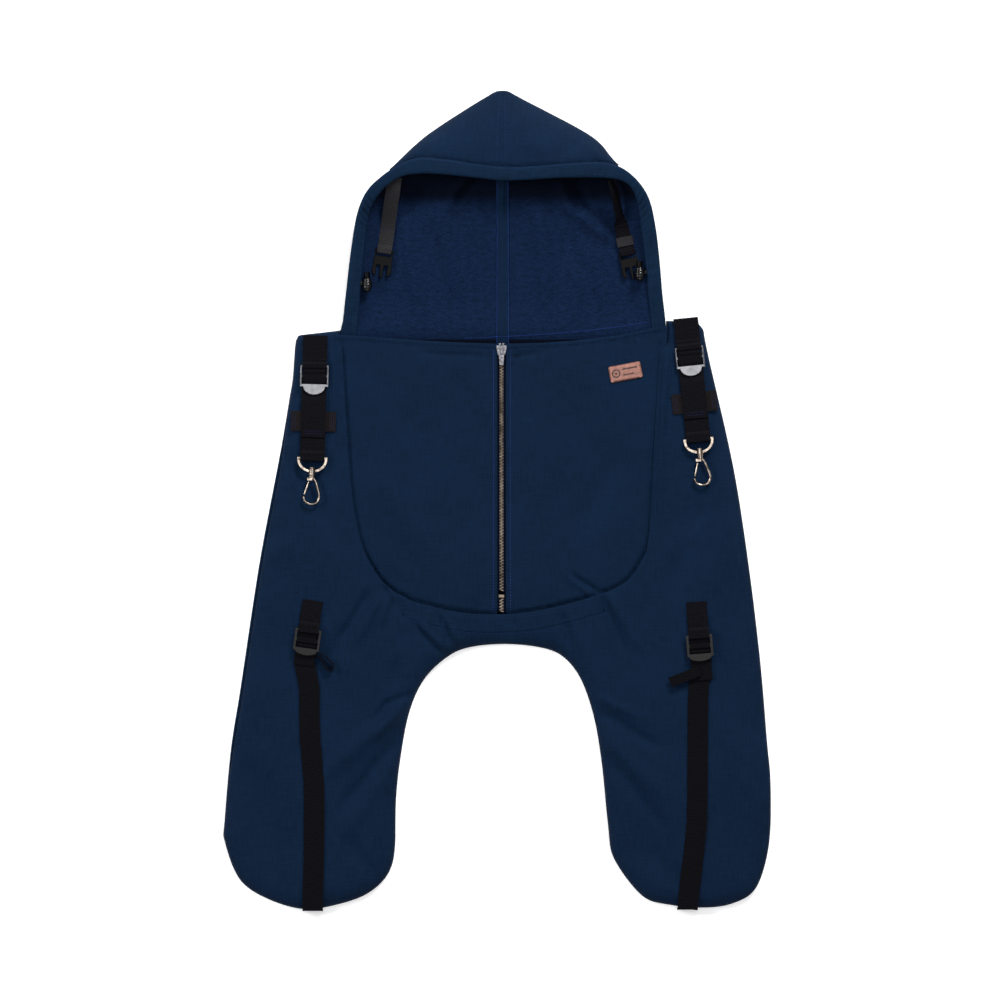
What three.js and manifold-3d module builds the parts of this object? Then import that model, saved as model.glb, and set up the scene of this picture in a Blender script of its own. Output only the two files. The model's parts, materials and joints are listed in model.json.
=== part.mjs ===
// Hooded fabric cover for a child in a carrier, laid flat with its zip side up.
// Millimetres, +Z up, hood towards +Y, origin on the surface it lies on, at the middle of its outline.
import * as THREE from "three";
import { mergeVertices } from "three/addons/utils/BufferGeometryUtils.js";
import Module from "manifold-3d";

const wasm = await Module();
wasm.setup();

// ---- Driving dimensions ----------------------------------------------------------------------

const laidWidth = 548; // outer edge to outer edge, across the legs
const laidLength = 822; // hood peak to leg ends
const gap = 0.3; // left between pieces that touch
const cloth = 2.4; // soft shell bonded to fleece
const pocket = 5.6; // space between the back panel and the bib
const seam = 6; // closed edge between the back and front panels
const bibOverlap = 8; // how far the bib runs under the front panel
const hoodHeight = 40; // brim above the surface
const hoodRim = 14; // hood sides above the surface, next to the neck
const hoodFlat = 14; // flat stretch of hood beside the neck fold
const hemWidth = 15;
const hemDepth = 5.4;
const cordDiameter = 3;
const channelClearance = 0.7; // round the drawcord, inside the hem
const zipPitch = 3; // tooth to tooth on one side
const zipChain = 5.8; // width of the closed chain
const zipFabricGap = 8; // between the two bib edges
const zipTravel = 238;
const shoulderWeb = 24.4;
const legWeb = 20.4;
const hoodWeb = 14.4;
const webThickness = 1.2;
const keeperThickness = 1;
const webClearance = 0.4; // each side of a web in its slot
const ringWire = 2.4;
const hookWire = 2.5;
const swivelRise = 4.4; // hook's own axis above the cloth

// ---- Heights of the layers -------------------------------------------------------------------

const backTop = cloth;
const bibBottom = backTop + pocket;
const bibTop = bibBottom + cloth;
const frontBottom = bibTop + gap;
const frontTop = frontBottom + cloth;
const webLevel = frontTop + gap + webThickness / 2; // web lying on the front panel
const upperWebLevel = webLevel + webThickness + gap; // web lying on that web

// ---- Layout ----------------------------------------------------------------------------------

// The outlines are drawn on a grid of the nominal size, and stretch with the overall sizes.
const grid = { width: 548, length: 822 };
const across = (x) => (x * laidWidth) / grid.width;
const along = (y) => (y * laidLength) / grid.length;
const at = (x, y) => new THREE.Vector2(across(x), along(y));
const run = (...pairs) => pairs.map(([x, y]) => at(x, y));

const zipX = across(4.5);
const neckY = along(158); // fold between the body and the hood
const bibEdgeY = neckY - 1.5;
const neckLeft = across(-156.5);
const neckRight = across(169);

// ---- Materials -------------------------------------------------------------------------------

const finish = (color, roughness, metalness = 0) => () =>
  new THREE.MeshStandardMaterial({ color, roughness, metalness });
const navy = finish(0x16283f, 0.85);
const fleece = finish(0x182a52, 0.95);
const black = finish(0x1a191e, 0.8);
const plastic = finish(0x141416, 0.45);
const grey = finish(0x37373a, 0.8);
const nickel = finish(0xb4b0aa, 0.25, 1);
const gunmetal = finish(0x55555a, 0.35, 1);
const leather = finish(0xaf7162, 0.6);

// ---- Building blocks -------------------------------------------------------------------------

const smooth = (points, divisions = 3) =>
  new THREE.SplineCurve(points).getPoints((points.length - 1) * divisions);

// A closed outline pushed outwards by a distance (inwards when it is negative), for outlines that
// run anticlockwise.
function offsetLoop(points, distance) {
  return points.map((point, i) => {
    const before = points[(i + points.length - 1) % points.length];
    const after = points[(i + 1) % points.length];
    const a = point.clone().sub(before).normalize();
    const b = after.clone().sub(point).normalize();
    const normal = new THREE.Vector2(a.y + b.y, -a.x - b.x).normalize();
    const mitre = Math.max(0.5, normal.dot(new THREE.Vector2(a.y, -a.x)));
    return point.clone().addScaledVector(normal, distance / mitre);
  });
}

// An open line given a thickness, as a closed outline.
function thicken(points, thickness) {
  const sides = [1, -1].map((side) =>
    points.map((point, i) => {
      const before = points[Math.max(0, i - 1)];
      const after = points[Math.min(points.length - 1, i + 1)];
      const a = point.clone().sub(i ? before : point.clone().multiplyScalar(2).sub(after)).normalize();
      const b = i < points.length - 1 ? after.clone().sub(point).normalize() : a;
      const normal = new THREE.Vector2(-a.y - b.y, a.x + b.x).normalize();
      const mitre = Math.max(0.5, normal.dot(new THREE.Vector2(-a.y, a.x)));
      return point.clone().addScaledVector(normal, (side * thickness) / 2 / mitre);
    }),
  );
  return [...sides[1], ...sides[0].reverse()];
}

function prism(outline, low, high, holes = []) {
  const shape = new THREE.Shape(outline);
  shape.holes = holes.map((hole) => new THREE.Path(hole));
  const geometry = new THREE.ExtrudeGeometry(shape, { depth: high - low, bevelEnabled: false });
  return geometry.translate(0, 0, low);
}

// An outline in the plane of Y and Z, given a width along X.
function crosswise(outline, width, centre = 0) {
  const geometry = prism(outline, centre - width / 2, centre + width / 2);
  const turn = new THREE.Matrix4().makeBasis(
    new THREE.Vector3(0, 1, 0),
    new THREE.Vector3(0, 0, 1),
    new THREE.Vector3(1, 0, 0),
  );
  return geometry.applyMatrix4(turn);
}

const line = (...pairs) => pairs.map(([a, b]) => new THREE.Vector2(a, b));

const ribbon = (pairs, width, thickness = webThickness) =>
  crosswise(thicken(line(...pairs), thickness), width);

const box = (x0, x1, y0, y1, z0, z1) =>
  new THREE.BoxGeometry(x1 - x0, y1 - y0, z1 - z0).translate((x0 + x1) / 2, (y0 + y1) / 2, (z0 + z1) / 2);

const roundSection = (radius, sides) =>
  new THREE.Shape(
    Array.from({ length: sides }, (_, i) => {
      const angle = ((i + 0.5) * 2 * Math.PI) / sides;
      const reach = radius / Math.cos(Math.PI / sides);
      return new THREE.Vector2(reach * Math.cos(angle), reach * Math.sin(angle)).multiplyScalar(0.98);
    }),
  );

function tube(points, radius, steps, sides = 8) {
  const path = new THREE.CatmullRomCurve3(points.map(([x, y, z]) => new THREE.Vector3(x, y, z)));
  return new THREE.ExtrudeGeometry(roundSection(radius, sides), { steps, extrudePath: path });
}

// A cylinder along Y.
const rod = (radius, y0, y1, x = 0, z = 0, sides = 16) =>
  new THREE.CylinderGeometry(radius, radius, y1 - y0, sides).translate(x, (y0 + y1) / 2, z);

function solid(geometry) {
  const bare = new THREE.BufferGeometry();
  bare.setAttribute("position", geometry.getAttribute("position"));
  bare.setIndex(geometry.index);
  const merged = mergeVertices(bare, 1e-4);
  return new wasm.Manifold(
    new wasm.Mesh({
      numProp: 3,
      vertProperties: merged.attributes.position.array,
      triVerts: new Uint32Array(merged.index.array),
    }),
  );
}

const joined = (...geometries) => geometries.map(solid).reduce((all, one) => all.add(one));
const cut = (whole, ...tools) => tools.reduce((rest, tool) => rest.subtract(solid(tool)), whole);

function geometryOf(manifold) {
  const mesh = manifold.getMesh();
  const geometry = new THREE.BufferGeometry();
  geometry.setAttribute("position", new THREE.BufferAttribute(mesh.vertProperties, 3));
  geometry.setIndex(new THREE.BufferAttribute(mesh.triVerts, 1));
  const facets = geometry.toNonIndexed();
  facets.computeVertexNormals();
  return facets;
}

// From the middle of a bar that turns to the middle of a web looped round it.
const loopReach = (barWidth, barThickness) => Math.hypot(barWidth, barThickness) / 2 + gap / 2 + webThickness / 2;

function piece(group, name, shape, material) {
  const geometry = shape.isBufferGeometry ? shape : geometryOf(shape);
  const mesh = new THREE.Mesh(geometry, material());
  mesh.name = name;
  group.add(mesh);
  return mesh;
}

function place(parent, x, y, degrees = 0, z = 0) {
  const group = new THREE.Group();
  group.position.set(x, y, z);
  group.rotation.z = THREE.MathUtils.degToRad(degrees);
  parent.add(group);
  return group;
}

const cover = new THREE.Group();

// ---- Outlines --------------------------------------------------------------------------------

const shoulderLeft = run([-156.5, 169], [-196, 164.5], [-201, 159]);
const leftSide = run([-204, 122], [-216, 50], [-237, -61], [-256, -186], [-266, -250], [-272.4, -322]);
const leftLegEnd = run([-272.4, -341], [-259, -377], [-236, -396], [-197, -409], [-160, -405], [-125, -391]);
const leftInseam = run([-104, -362], [-101, -302], [-97, -262], [-88, -214], [-73, -180], [-49, -157]);
const crotch = run([-26, -147.5], [10, -144.5], [46, -148.5], [67, -158]);
const rightInseam = run([84, -180], [97, -218], [105, -266], [111, -326], [117, -359]);
const rightLegEnd = run([145, -396], [172, -405], [205, -408], [235, -404], [259, -388], [272, -344]);
const rightSide = run([273.5, -284], [270, -242], [263, -160], [251, -61], [236, 34], [213, 136], [206, 170]);
const shoulderRight = run([199, 178.5], [169, 178.5]);

const bodyEdge = [
  ...shoulderLeft,
  ...smooth([
    ...leftSide,
    ...leftLegEnd,
    ...leftInseam,
    ...crotch,
    ...rightInseam,
    ...rightLegEnd,
    ...rightSide,
  ]),
  ...shoulderRight,
];
const neckNotch = [new THREE.Vector2(neckRight, neckY - gap / 2), new THREE.Vector2(neckLeft, neckY - gap / 2)];
const bodyOutline = [...bodyEdge, ...neckNotch];

const bibSideLeft = run([-155, 158], [-148, 48], [-143, -4], [-133, -50], [-113, -83]);
const bibFoot = run([-92, -97.5], [-75, -104], [-35, -113], [4, -114.5], [37, -111.5], [75, -103], [106, -93.5]);
const bibSideRight = run([129, -82], [145, -60], [151, -38], [155, 27], [160, 109], [163, 158]);
const bibOutline = smooth([...bibSideLeft, ...bibFoot, ...bibSideRight], 2);

const hoodLeft = run([-155, 172], [-147, 240], [-140, 284], [-128, 311], [-105, 331], [-71, 363], [-20, 397]);
const hoodPeak = at(5, 411);
const hoodRight = run([30, 398], [94, 363], [117, 338], [143, 313], [156, 287], [163, 225], [167, 172]);
const hoodSides = [...smooth([...hoodLeft, hoodPeak]), ...smooth([hoodPeak, ...hoodRight]).slice(1)];
const hoodEnd = [at(167.5, 0), at(-155.5, 0)].map((corner) => corner.setY(neckY + gap / 2));
const hoodOutline = [...hoodSides, ...hoodEnd].reverse();
const brimEdge = run([107, 321], [64, 320.5], [8, 318], [-65, 323.5], [-98, 321.5]);

// ---- Body panels -----------------------------------------------------------------------------

piece(cover, "back_panel", prism(bodyOutline, 0, backTop), navy);

const farUp = along(600);
const bibCut = [...bibOutline, new THREE.Vector2(across(163), farUp), new THREE.Vector2(across(-155), farUp)];
const frontPanel = cut(
  solid(prism(bodyOutline, backTop + gap, frontTop)),
  prism(offsetLoop(bodyEdge, -seam), backTop, frontBottom),
  prism(bibCut, backTop, frontTop + 1),
);
piece(cover, "front_panel", frontPanel, navy);

// The band sewn over the front panel along the foot of the bib. It keeps the curve of the bib's foot.
const bandWidth = 15;
const bandInset = 3;
const bandDepth = 1.4;
const bandMiddle = smooth(bibFoot, 2).map(
  (point) => new THREE.Vector2(point.x, point.y - bandInset - bandWidth / 2),
);
piece(
  cover,
  "crotch_band",
  prism(thicken(bandMiddle, bandWidth), frontTop + gap, frontTop + gap + bandDepth),
  navy,
);

// ---- Bib and its top hems --------------------------------------------------------------------

const bibWhole = offsetLoop([...bibOutline], bibOverlap);
const bibReach = across(200);
const bibTopHemWidth = 7;
const bibTopHemDepth = 1.3;
const fabricEdge = { left: zipX - zipFabricGap / 2, right: zipX + zipFabricGap / 2 };
const bibHalf = {
  left: box(-bibReach, fabricEdge.left, -laidLength, bibEdgeY, bibBottom - 1, bibTop + 1),
  right: box(fabricEdge.right, bibReach, -laidLength, bibEdgeY, bibBottom - 1, bibTop + 1),
};
const bibSolid = solid(prism(bibWhole, bibBottom, bibTop));
const hemEnd = 2; // hem stops short of the front panel's edge
const sliderHalf = 5;
for (const [side, half] of Object.entries(bibHalf)) {
  piece(cover, `bib_${side}`, bibSolid.intersect(solid(half)), navy);
}
piece(
  cover,
  "bib_hem_left",
  box(
    across(-155) + hemEnd,
    zipX - sliderHalf - gap,
    bibEdgeY - bibTopHemWidth,
    bibEdgeY,
    bibTop + gap,
    bibTop + gap + bibTopHemDepth,
  ),
  navy,
);
piece(
  cover,
  "bib_hem_right",
  box(
    zipX + sliderHalf + gap,
    across(162) - hemEnd,
    bibEdgeY - bibTopHemWidth,
    bibEdgeY,
    bibTop + gap,
    bibTop + gap + bibTopHemDepth,
  ),
  navy,
);

// ---- Zip -------------------------------------------------------------------------------------

const tapeThickness = 0.7;
const tapeWidth = 13;
const tapeTop = bibBottom - gap;
const tapeEdge = 2.6; // from the zip's middle to each tape
const toothHeight = 2.6;
const toothMiddle = tapeTop - tapeThickness / 2 + 0.7;
const sliderY = bibEdgeY - 7.5;
const stopLength = 3;
const zipRun = along(zipTravel);
const zipFoot = sliderY - zipRun - sliderHalf - 1; // top of the bottom stop
const teeth = Math.floor((sliderY - zipFoot - sliderHalf - 1 - zipPitch / 2 - gap) / zipPitch);

// One side of the chain: a spine with a tooth for each pitch, seen from above. The right side's teeth
// stand half a pitch lower, in the gaps of the left side's.
function toothRow(side) {
  const spine = side * (zipChain / 2);
  const root = side * 1.7;
  const tip = side * -0.75;
  const top = sliderY - sliderHalf - 1 - (side > 0 ? zipPitch / 2 : 0);
  const edge = [new THREE.Vector2(spine, top), new THREE.Vector2(root, top)];
  for (let i = 0; i < teeth; i += 1) {
    const y = top - i * zipPitch;
    edge.push(new THREE.Vector2(root, y - 0.5));
    edge.push(new THREE.Vector2(tip, y - 0.75));
    edge.push(new THREE.Vector2(tip, y - 1.65));
    edge.push(new THREE.Vector2(root, y - 1.9));
  }
  edge.push(new THREE.Vector2(root, top - teeth * zipPitch));
  edge.push(new THREE.Vector2(spine, top - teeth * zipPitch));
  const loop = side < 0 ? edge.reverse() : edge;
  return prism(loop.reverse(), toothMiddle - toothHeight / 2, toothMiddle + toothHeight / 2).translate(zipX, 0, 0);
}

for (const [side, sign] of [["left", -1], ["right", 1]]) {
  const inner = zipX + sign * (zipChain / 2 + gap);
  const outer = zipX + sign * (tapeEdge + tapeWidth);
  const [x0, x1] = sign < 0 ? [outer, inner] : [inner, outer];
  const tapeFoot = zipFoot - stopLength - 12;
  piece(cover, `zip_tape_${side}`, box(x0, x1, tapeFoot, bibEdgeY - 2, tapeTop - tapeThickness, tapeTop), black);
  piece(cover, `zip_teeth_${side}`, toothRow(sign), gunmetal);
  const [s0, s1] = sign < 0 ? [-2.8, -0.4] : [0.4, 2.8];
  const stopFoot = sliderY + sliderHalf + gap;
  const stopTop = stopFoot + stopLength - 1;
  piece(
    cover,
    `zip_top_stop_${side}`,
    box(zipX + s0, zipX + s1, stopFoot, stopTop, toothMiddle - 1.4, toothMiddle + 1.4),
    nickel,
  );
}
piece(
  cover,
  "zip_bottom_stop",
  box(zipX - 2.8, zipX + 2.8, zipFoot - stopLength, zipFoot, toothMiddle - 1.6, toothMiddle + 1.6),
  nickel,
);

const sliderTopLow = bibTop + gap;
const sliderPlate = 1.1;
const sliderTopHigh = sliderTopLow + sliderPlate;
const sliderFloor = tapeTop - tapeThickness - gap - 0.9;
const wings = line([-5, 5], [-5, 1.5], [-3.4, -5], [3.4, -5], [5, 1.5], [5, 5]);
const pullPost = { halfWidth: 2.2, rise: 1.7 };
const slider = joined(
  prism(wings, sliderTopLow, sliderTopHigh),
  prism(wings, sliderFloor - sliderPlate, sliderFloor),
  box(-0.9, 0.9, 2.4, 4.8, sliderFloor - 0.5, sliderTopLow + 0.5),
  box(-1, 1, -3.6, -2.2, sliderTopHigh - 0.4, sliderTopHigh + pullPost.rise),
  box(-1, 1, 2.2, 3.6, sliderTopHigh - 0.4, sliderTopHigh + pullPost.rise),
  box(-1, 1, -3.6, 3.6, sliderTopHigh + pullPost.rise - 0.01, sliderTopHigh + pullPost.rise + 0.9),
);
const sliderGroup = place(cover, zipX, sliderY);
piece(sliderGroup, "zip_slider", slider, nickel);

// The puller hangs from the slider's bridge and lies on the chain below it.
const pullerLevel = sliderTopHigh + 0.35;
const puller = prism(
  line([-2.6, 1.7], [-2.6, -9], [-2, -15], [2, -15], [2.6, -9], [2.6, 1.7]),
  pullerLevel,
  pullerLevel + 1,
  [line([-1.5, 0.9], [1.5, 0.9], [1.5, -4.4], [-1.5, -4.4])],
);
piece(sliderGroup, "zip_puller", puller, nickel);

// ---- Label -----------------------------------------------------------------------------------

const label = { width: 33, height: 16, corner: 2.2, thickness: 1.2, turn: 11 };
function roundedRect(width, height, corner) {
  const shape = new THREE.Path();
  const [w, h] = [width / 2 - corner, height / 2 - corner];
  shape.moveTo(w + corner, -h);
  shape.absarc(w, h, corner, 0, Math.PI / 2);
  shape.absarc(-w, h, corner, Math.PI / 2, Math.PI);
  shape.absarc(-w, -h, corner, Math.PI, 1.5 * Math.PI);
  shape.absarc(w, -h, corner, 1.5 * Math.PI, 2 * Math.PI);
  return mergeClose(shape.getPoints(3));
}

function mergeClose(points) {
  return points.filter((point, i) => point.distanceTo(points[(i + 1) % points.length]) > 1e-3);
}

piece(
  place(cover, across(128.3), along(127.2), label.turn, bibTop + gap),
  "label",
  prism(roundedRect(label.width, label.height, label.corner), 0, label.thickness),
  leather,
);

// ---- Ladder locks and the webs threaded through them -----------------------------------------

// Lock frame, drawn from the middle of its top bar, with the strap running towards -Y.
function lockShape(web, lock) {
  const inner = web / 2 + webClearance;
  const outer = inner + lock.side;
  const midTop = -lock.bar / 2 - lock.upperSlot;
  const midFoot = midTop - lock.middleBar;
  const tabTop = midFoot - lock.lowerSlot;
  const tabFoot = tabTop - lock.middleBar;
  const tabPoints = Array.from({ length: 9 }, (_, i) => {
    const angle = Math.PI + (i * Math.PI) / 8;
    return [lock.tabHalf * Math.cos(angle), tabFoot + lock.tabReach * Math.sin(angle)];
  });
  const outline = line([outer, lock.bar / 2], [-outer, lock.bar / 2], [-outer, tabFoot], ...tabPoints, [outer, tabFoot]);
  const slot = (top, foot) => line([-inner, foot], [inner, foot], [inner, top], [-inner, top]);
  const low = upperWebLevel + webThickness / 2 + gap;
  return {
    geometry: prism(outline, low, low + lock.thickness, [slot(-lock.bar / 2, midTop), slot(midFoot, tabTop)]),
    low,
    high: low + lock.thickness,
    midTop,
    midFoot,
    tabTop,
    tabFoot,
  };
}

// The web sewn to the cloth, looped round the lock's top bar and back. foot is its sewn end, above the bar.
function anchorPath(shape, lock, top, overEdge) {
  const half = webThickness / 2;
  const loopY = -loopReach(lock.bar, lock.thickness);
  const loopTop = shape.high + half + lock.loopEase;
  const returned = top > 24 ? 20 : top - 3;
  const start = overEdge
    ? [[top + gap + half, backTop], [top + gap + half, webLevel - 0.8], [top + gap + half - 0.8, webLevel]]
    : [[top, webLevel]];
  return [
    ...start,
    [loopY + 0.8, webLevel],
    [loopY, webLevel + 0.8],
    [loopY, loopTop - 0.8],
    [loopY + 0.8, loopTop],
    [lock.bar / 2 + 1.2, loopTop],
    [lock.bar / 2 + 6.5, upperWebLevel],
    [returned, upperWebLevel],
  ];
}

// The strap: from the start of its path, up through the upper slot, over the middle bar, down through the
// lower slot and out as a tail.
function threadPath(shape, lock, start, tailLevel, tailEnd) {
  const half = webThickness / 2;
  const risen = shape.midTop + gap + half;
  const over = shape.high + gap + half;
  return [
    ...start,
    [risen - 0.9, webLevel],
    [risen, webLevel + 0.9],
    [risen, over - 0.9],
    [risen - 0.9, over],
    [shape.midFoot - 0.6, over],
    [shape.tabTop + 0.4, upperWebLevel],
    [shape.tabFoot - lock.tabReach - 1, upperWebLevel],
    [shape.tabFoot - lock.tabReach - 6, tailLevel],
    [tailEnd, tailLevel],
  ];
}

// ---- Shoulder straps -------------------------------------------------------------------------

const metalLock = {
  bar: 2,
  upperSlot: 7.6,
  middleBar: 2.6,
  lowerSlot: 6.6,
  side: 1.6,
  thickness: 2,
  tabHalf: 11,
  tabReach: 8,
  loopEase: 0.7,
};
const ring = { y: -92, depth: 13, boss: 3.3, bossLength: 6 };
const hook = { stem: 1.9, head: 2.9, collar: 3, halfWidth: 8, length: 26 };
const gate = { radius: 1, x: -3, top: 3.6, foot: 16.6 }; // hinged on a lug beside the hook's stem
const keeperY = { top: -45, foot: -65 };

function dRing() {
  const inner = shoulderWeb / 2 + webClearance;
  const arc = (half, reach) =>
    Array.from({ length: 13 }, (_, i) => {
      const angle = Math.PI + (i * Math.PI) / 12;
      return new THREE.Vector2(half * Math.cos(angle), ringWire / -2 + reach * Math.sin(angle));
    });
  const outer = [
    new THREE.Vector2(inner + ringWire, ringWire / 2),
    new THREE.Vector2(-inner - ringWire, ringWire / 2),
    ...arc(inner + ringWire, ring.depth),
  ];
  const hole = arc(inner, ring.depth - ringWire);
  const wire = prism(outer, -ringWire / 2, ringWire / 2, [hole]);
  const bossTop = -ringWire / 2 - ring.depth + ringWire + 1;
  const boss = rod(ring.boss, bossTop - ring.bossLength, bossTop);
  const bore = rod(hook.stem + gap, bossTop - ring.bossLength - 1, bossTop + 1);
  return { body: cut(joined(wire, boss), bore), bossTop, bossFoot: bossTop - ring.bossLength };
}

function swivelHook(bossTop, bossFoot) {
  const top = bossFoot - gap - 2.6;
  const wire = tube(
    [
      [0, top + 1, 0],
      [3.2, top - 2, 0],
      [5.6, top - 9, 0],
      [hook.halfWidth - 0.3, top - 17, 0],
      [6.2, top - 23.4, 0],
      [0, top - hook.length, 0],
      [-6.2, top - 23.4, 0],
      [-hook.halfWidth + 0.2, top - 18.5, 0],
    ],
    hookWire / 2,
    26,
  );
  return {
    body: joined(
      rod(hook.head, bossTop + gap, bossTop + gap + 1.6),
      rod(hook.stem, top, bossTop + gap + 0.5),
      rod(hook.collar, top, bossFoot - gap),
      box(gate.x - 1.6, 0.5, top - gate.top + gate.radius + gap, top + 0.5, -1.5, 1.5),
      wire,
    ),
    top,
  };
}

function shoulderStrap(side, x, y, degrees, top, overEdge) {
  const group = place(cover, across(x), along(y), degrees);
  const shape = lockShape(shoulderWeb, metalLock);
  piece(group, `shoulder_lock_${side}`, shape.geometry, gunmetal);
  const anchor = ribbon(anchorPath(shape, metalLock, top, overEdge), shoulderWeb);
  piece(group, `shoulder_anchor_web_${side}`, anchor, black);

  const axis = frontTop + swivelRise;
  const clear = loopReach(ringWire, ringWire);
  const bend = webThickness / 2;
  const tailLevel = upperWebLevel + keeperThickness + gap;
  const start = [
    [ring.y + 20, upperWebLevel],
    [ring.y + 7.5, upperWebLevel],
    [ring.y + 2.2, axis + clear],
    [ring.y - clear + bend, axis + clear],
    [ring.y - clear, axis + clear - bend],
    [ring.y - clear, axis - clear + bend],
    [ring.y - clear + bend, axis - clear],
    [ring.y + 2.5, axis - clear],
    [ring.y + 8, webLevel],
  ];
  const path = threadPath(shape, metalLock, start, tailLevel, -71);
  piece(group, `shoulder_strap_${side}`, ribbon(path, shoulderWeb), black);

  const half = shoulderWeb / 2 + 2 * gap;
  const low = frontTop + gap + keeperThickness / 2;
  const high = frontTop + 2 * gap + webThickness + keeperThickness / 2;
  const bridge = line(
    [-22.5, low],
    [-half - 1.6, low],
    [-half - 0.3, high],
    [half + 0.3, high],
    [half + 1.6, low],
    [22.5, low],
  );
  const keeper = crosswise(thicken(bridge, keeperThickness), keeperY.top - keeperY.foot);
  keeper.rotateZ(-Math.PI / 2);
  keeper.translate(0, (keeperY.top + keeperY.foot) / 2, 0);
  piece(group, `shoulder_keeper_${side}`, keeper, black);

  const end = place(group, 0, ring.y, 0, axis);
  const { body, bossTop, bossFoot } = dRing();
  piece(end, `d_ring_${side}`, body, nickel);
  const snap = swivelHook(bossTop, bossFoot);
  piece(end, `swivel_hook_${side}`, snap.body, nickel);
  const gateTop = [gate.x, snap.top - gate.top, 0];
  const gateFoot = [-hook.halfWidth + 0.9, snap.top - gate.foot, 0];
  piece(end, `hook_gate_${side}`, tube([gateTop, gateFoot], gate.radius, 1), nickel);
}

// How far above a lock the strap reaches the level edge of the panel, on its nearer corner.
const reachTo = (edge, y, degrees, half) => {
  const angle = THREE.MathUtils.degToRad(degrees);
  return (along(edge) - along(y) + half * Math.sin(angle)) / Math.cos(angle);
};
shoulderStrap("left", -182, 133, -1.4, along(164) - along(133), false);
shoulderStrap("right", 191.5, 151.5, 5.9, reachTo(178.5, 151.5, 5.9, shoulderWeb / 2), true);

// ---- Leg straps ------------------------------------------------------------------------------

const plasticLock = {
  bar: 2.4,
  upperSlot: 7.2,
  middleBar: 3,
  lowerSlot: 6.4,
  side: 2.6,
  thickness: 3.4,
  tabHalf: 11.5,
  tabReach: 4.5,
  loopEase: 1,
};
const loopWeb = { width: 10, thickness: 1 };

// The lowest point of the body's outline near a place along X.
const footNear = (x, reach) =>
  Math.min(...bodyEdge.filter((point) => Math.abs(point.x - x) < reach && point.y < 0).map((point) => point.y));

// The strap runs down a route drawn on the layout grid, over the leg's end and down its closed edge.
function legStrap(side, lockAt, degrees, tabLength, tailLength, route) {
  const centre = at(...lockAt);
  const group = place(cover, centre.x, centre.y, degrees);
  const turn = THREE.MathUtils.degToRad(-degrees);
  const toLocal = (point) => point.clone().sub(centre).rotateAround(new THREE.Vector2(), turn);
  const shape = lockShape(legWeb, plasticLock);
  piece(group, `leg_lock_${side}`, shape.geometry, plastic);
  const anchor = ribbon(anchorPath(shape, plasticLock, tabLength, false), legWeb);
  piece(group, `leg_anchor_tab_${side}`, anchor, black);

  const joint = shape.tabFoot - 10;
  const tailEnd = shape.tabFoot - tailLength;
  const threaded = threadPath(shape, plasticLock, [[joint, webLevel]], upperWebLevel, tailEnd);
  const path = run(...route);
  const last = path[path.length - 1];
  last.setY(footNear(last.x, 1.5 * legWeb) - gap - webThickness / 2);
  const flat = prism(
    thicken(
      [new THREE.Vector2(0, joint + 2), ...smooth([new THREE.Vector2(0, joint - 1), ...path.map(toLocal)])],
      legWeb,
    ),
    webLevel - webThickness / 2,
    webLevel + webThickness / 2,
  );
  const foldAt = toLocal(last);
  const fold = box(-legWeb / 2, legWeb / 2, -webThickness / 2, webThickness / 2, backTop, webLevel + webThickness / 2);
  fold.rotateZ(turn).translate(foldAt.x, foldAt.y, 0);
  piece(group, `leg_strap_${side}`, joined(ribbon(threaded, legWeb), flat, fold), black);
  return { group, tailEnd };
}

const legLeft = legStrap("left", [-188, -130.5], -8, along(30), 14, [
  [-187.3, -190],
  [-187, -230],
  [-183, -281],
  [-182.5, -330],
  [-184, -410],
]);
const legRight = legStrap("right", [201.5, -136], 4.5, along(34), 24, [
  [200.6, -200],
  [200.5, -300],
  [197.5, -345],
  [190, -410],
]);

// The left pull loop stands on its edge beside the strap, and the right one lies flat on the tail.
const standing = line([12.4, -23], [17, -28], [24, -34], [24.6, -38], [20.5, -39], [15.5, -33], [12.2, -26.5]);
const loopFoot = frontTop + gap;
const standingLoop = prism(thicken(smooth(standing), loopWeb.thickness), loopFoot, loopFoot + loopWeb.width);
piece(legLeft.group, "leg_pull_loop_left", standingLoop, black);

const flatLow = upperWebLevel + webThickness / 2 + gap + loopWeb.thickness / 2;
const flatHigh = flatLow + loopWeb.thickness + gap;
const folded = line(
  [6, flatLow],
  [-24, flatLow],
  [-25, flatLow + 0.4],
  [-25, flatHigh - 0.4],
  [-24, flatHigh],
  [6, flatHigh],
);
const flatLoop = crosswise(thicken(folded, loopWeb.thickness), loopWeb.width).rotateZ(-Math.PI / 2);
const flatLoopTurn = THREE.MathUtils.degToRad(16.6);
flatLoop.rotateZ(flatLoopTurn).translate(-8, legRight.tailEnd + 8, 0);
piece(legRight.group, "leg_pull_loop_right", flatLoop, black);

// ---- Hood ------------------------------------------------------------------------------------

const hoodStart = neckY + hoodFlat;
const rise = [
  new THREE.Vector2(hoodStart, hoodRim),
  new THREE.Vector2(along(215), hoodRim + 4),
  new THREE.Vector2(along(270), hoodHeight * 0.72),
  new THREE.Vector2(along(318), hoodHeight),
  new THREE.Vector2(along(350), hoodHeight * 0.92),
  new THREE.Vector2(along(385), hoodHeight * 0.6),
  new THREE.Vector2(along(411) + 1, hoodHeight * 0.24),
];
const crest = smooth(rise, 3);

function crestHeight(y) {
  const i = Math.max(1, crest.findIndex((point) => point.x >= y));
  const [a, b] = [crest[i - 1], crest[i]];
  return a.y + ((b.y - a.y) * (y - a.x)) / (b.x - a.x);
}

// Everything between two depths below the hood's crest, across the whole width.
function underCrest(top, foot, from = hoodStart) {
  const upper = crest.map((point) => new THREE.Vector2(point.x, point.y - top));
  const lower = crest.map((point) => new THREE.Vector2(point.x, foot(point)));
  const outline = [...lower, ...upper.reverse()];
  outline[0].setX(from);
  outline[outline.length - 1].setX(from);
  return crosswise(outline, 2 * laidWidth);
}

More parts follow.
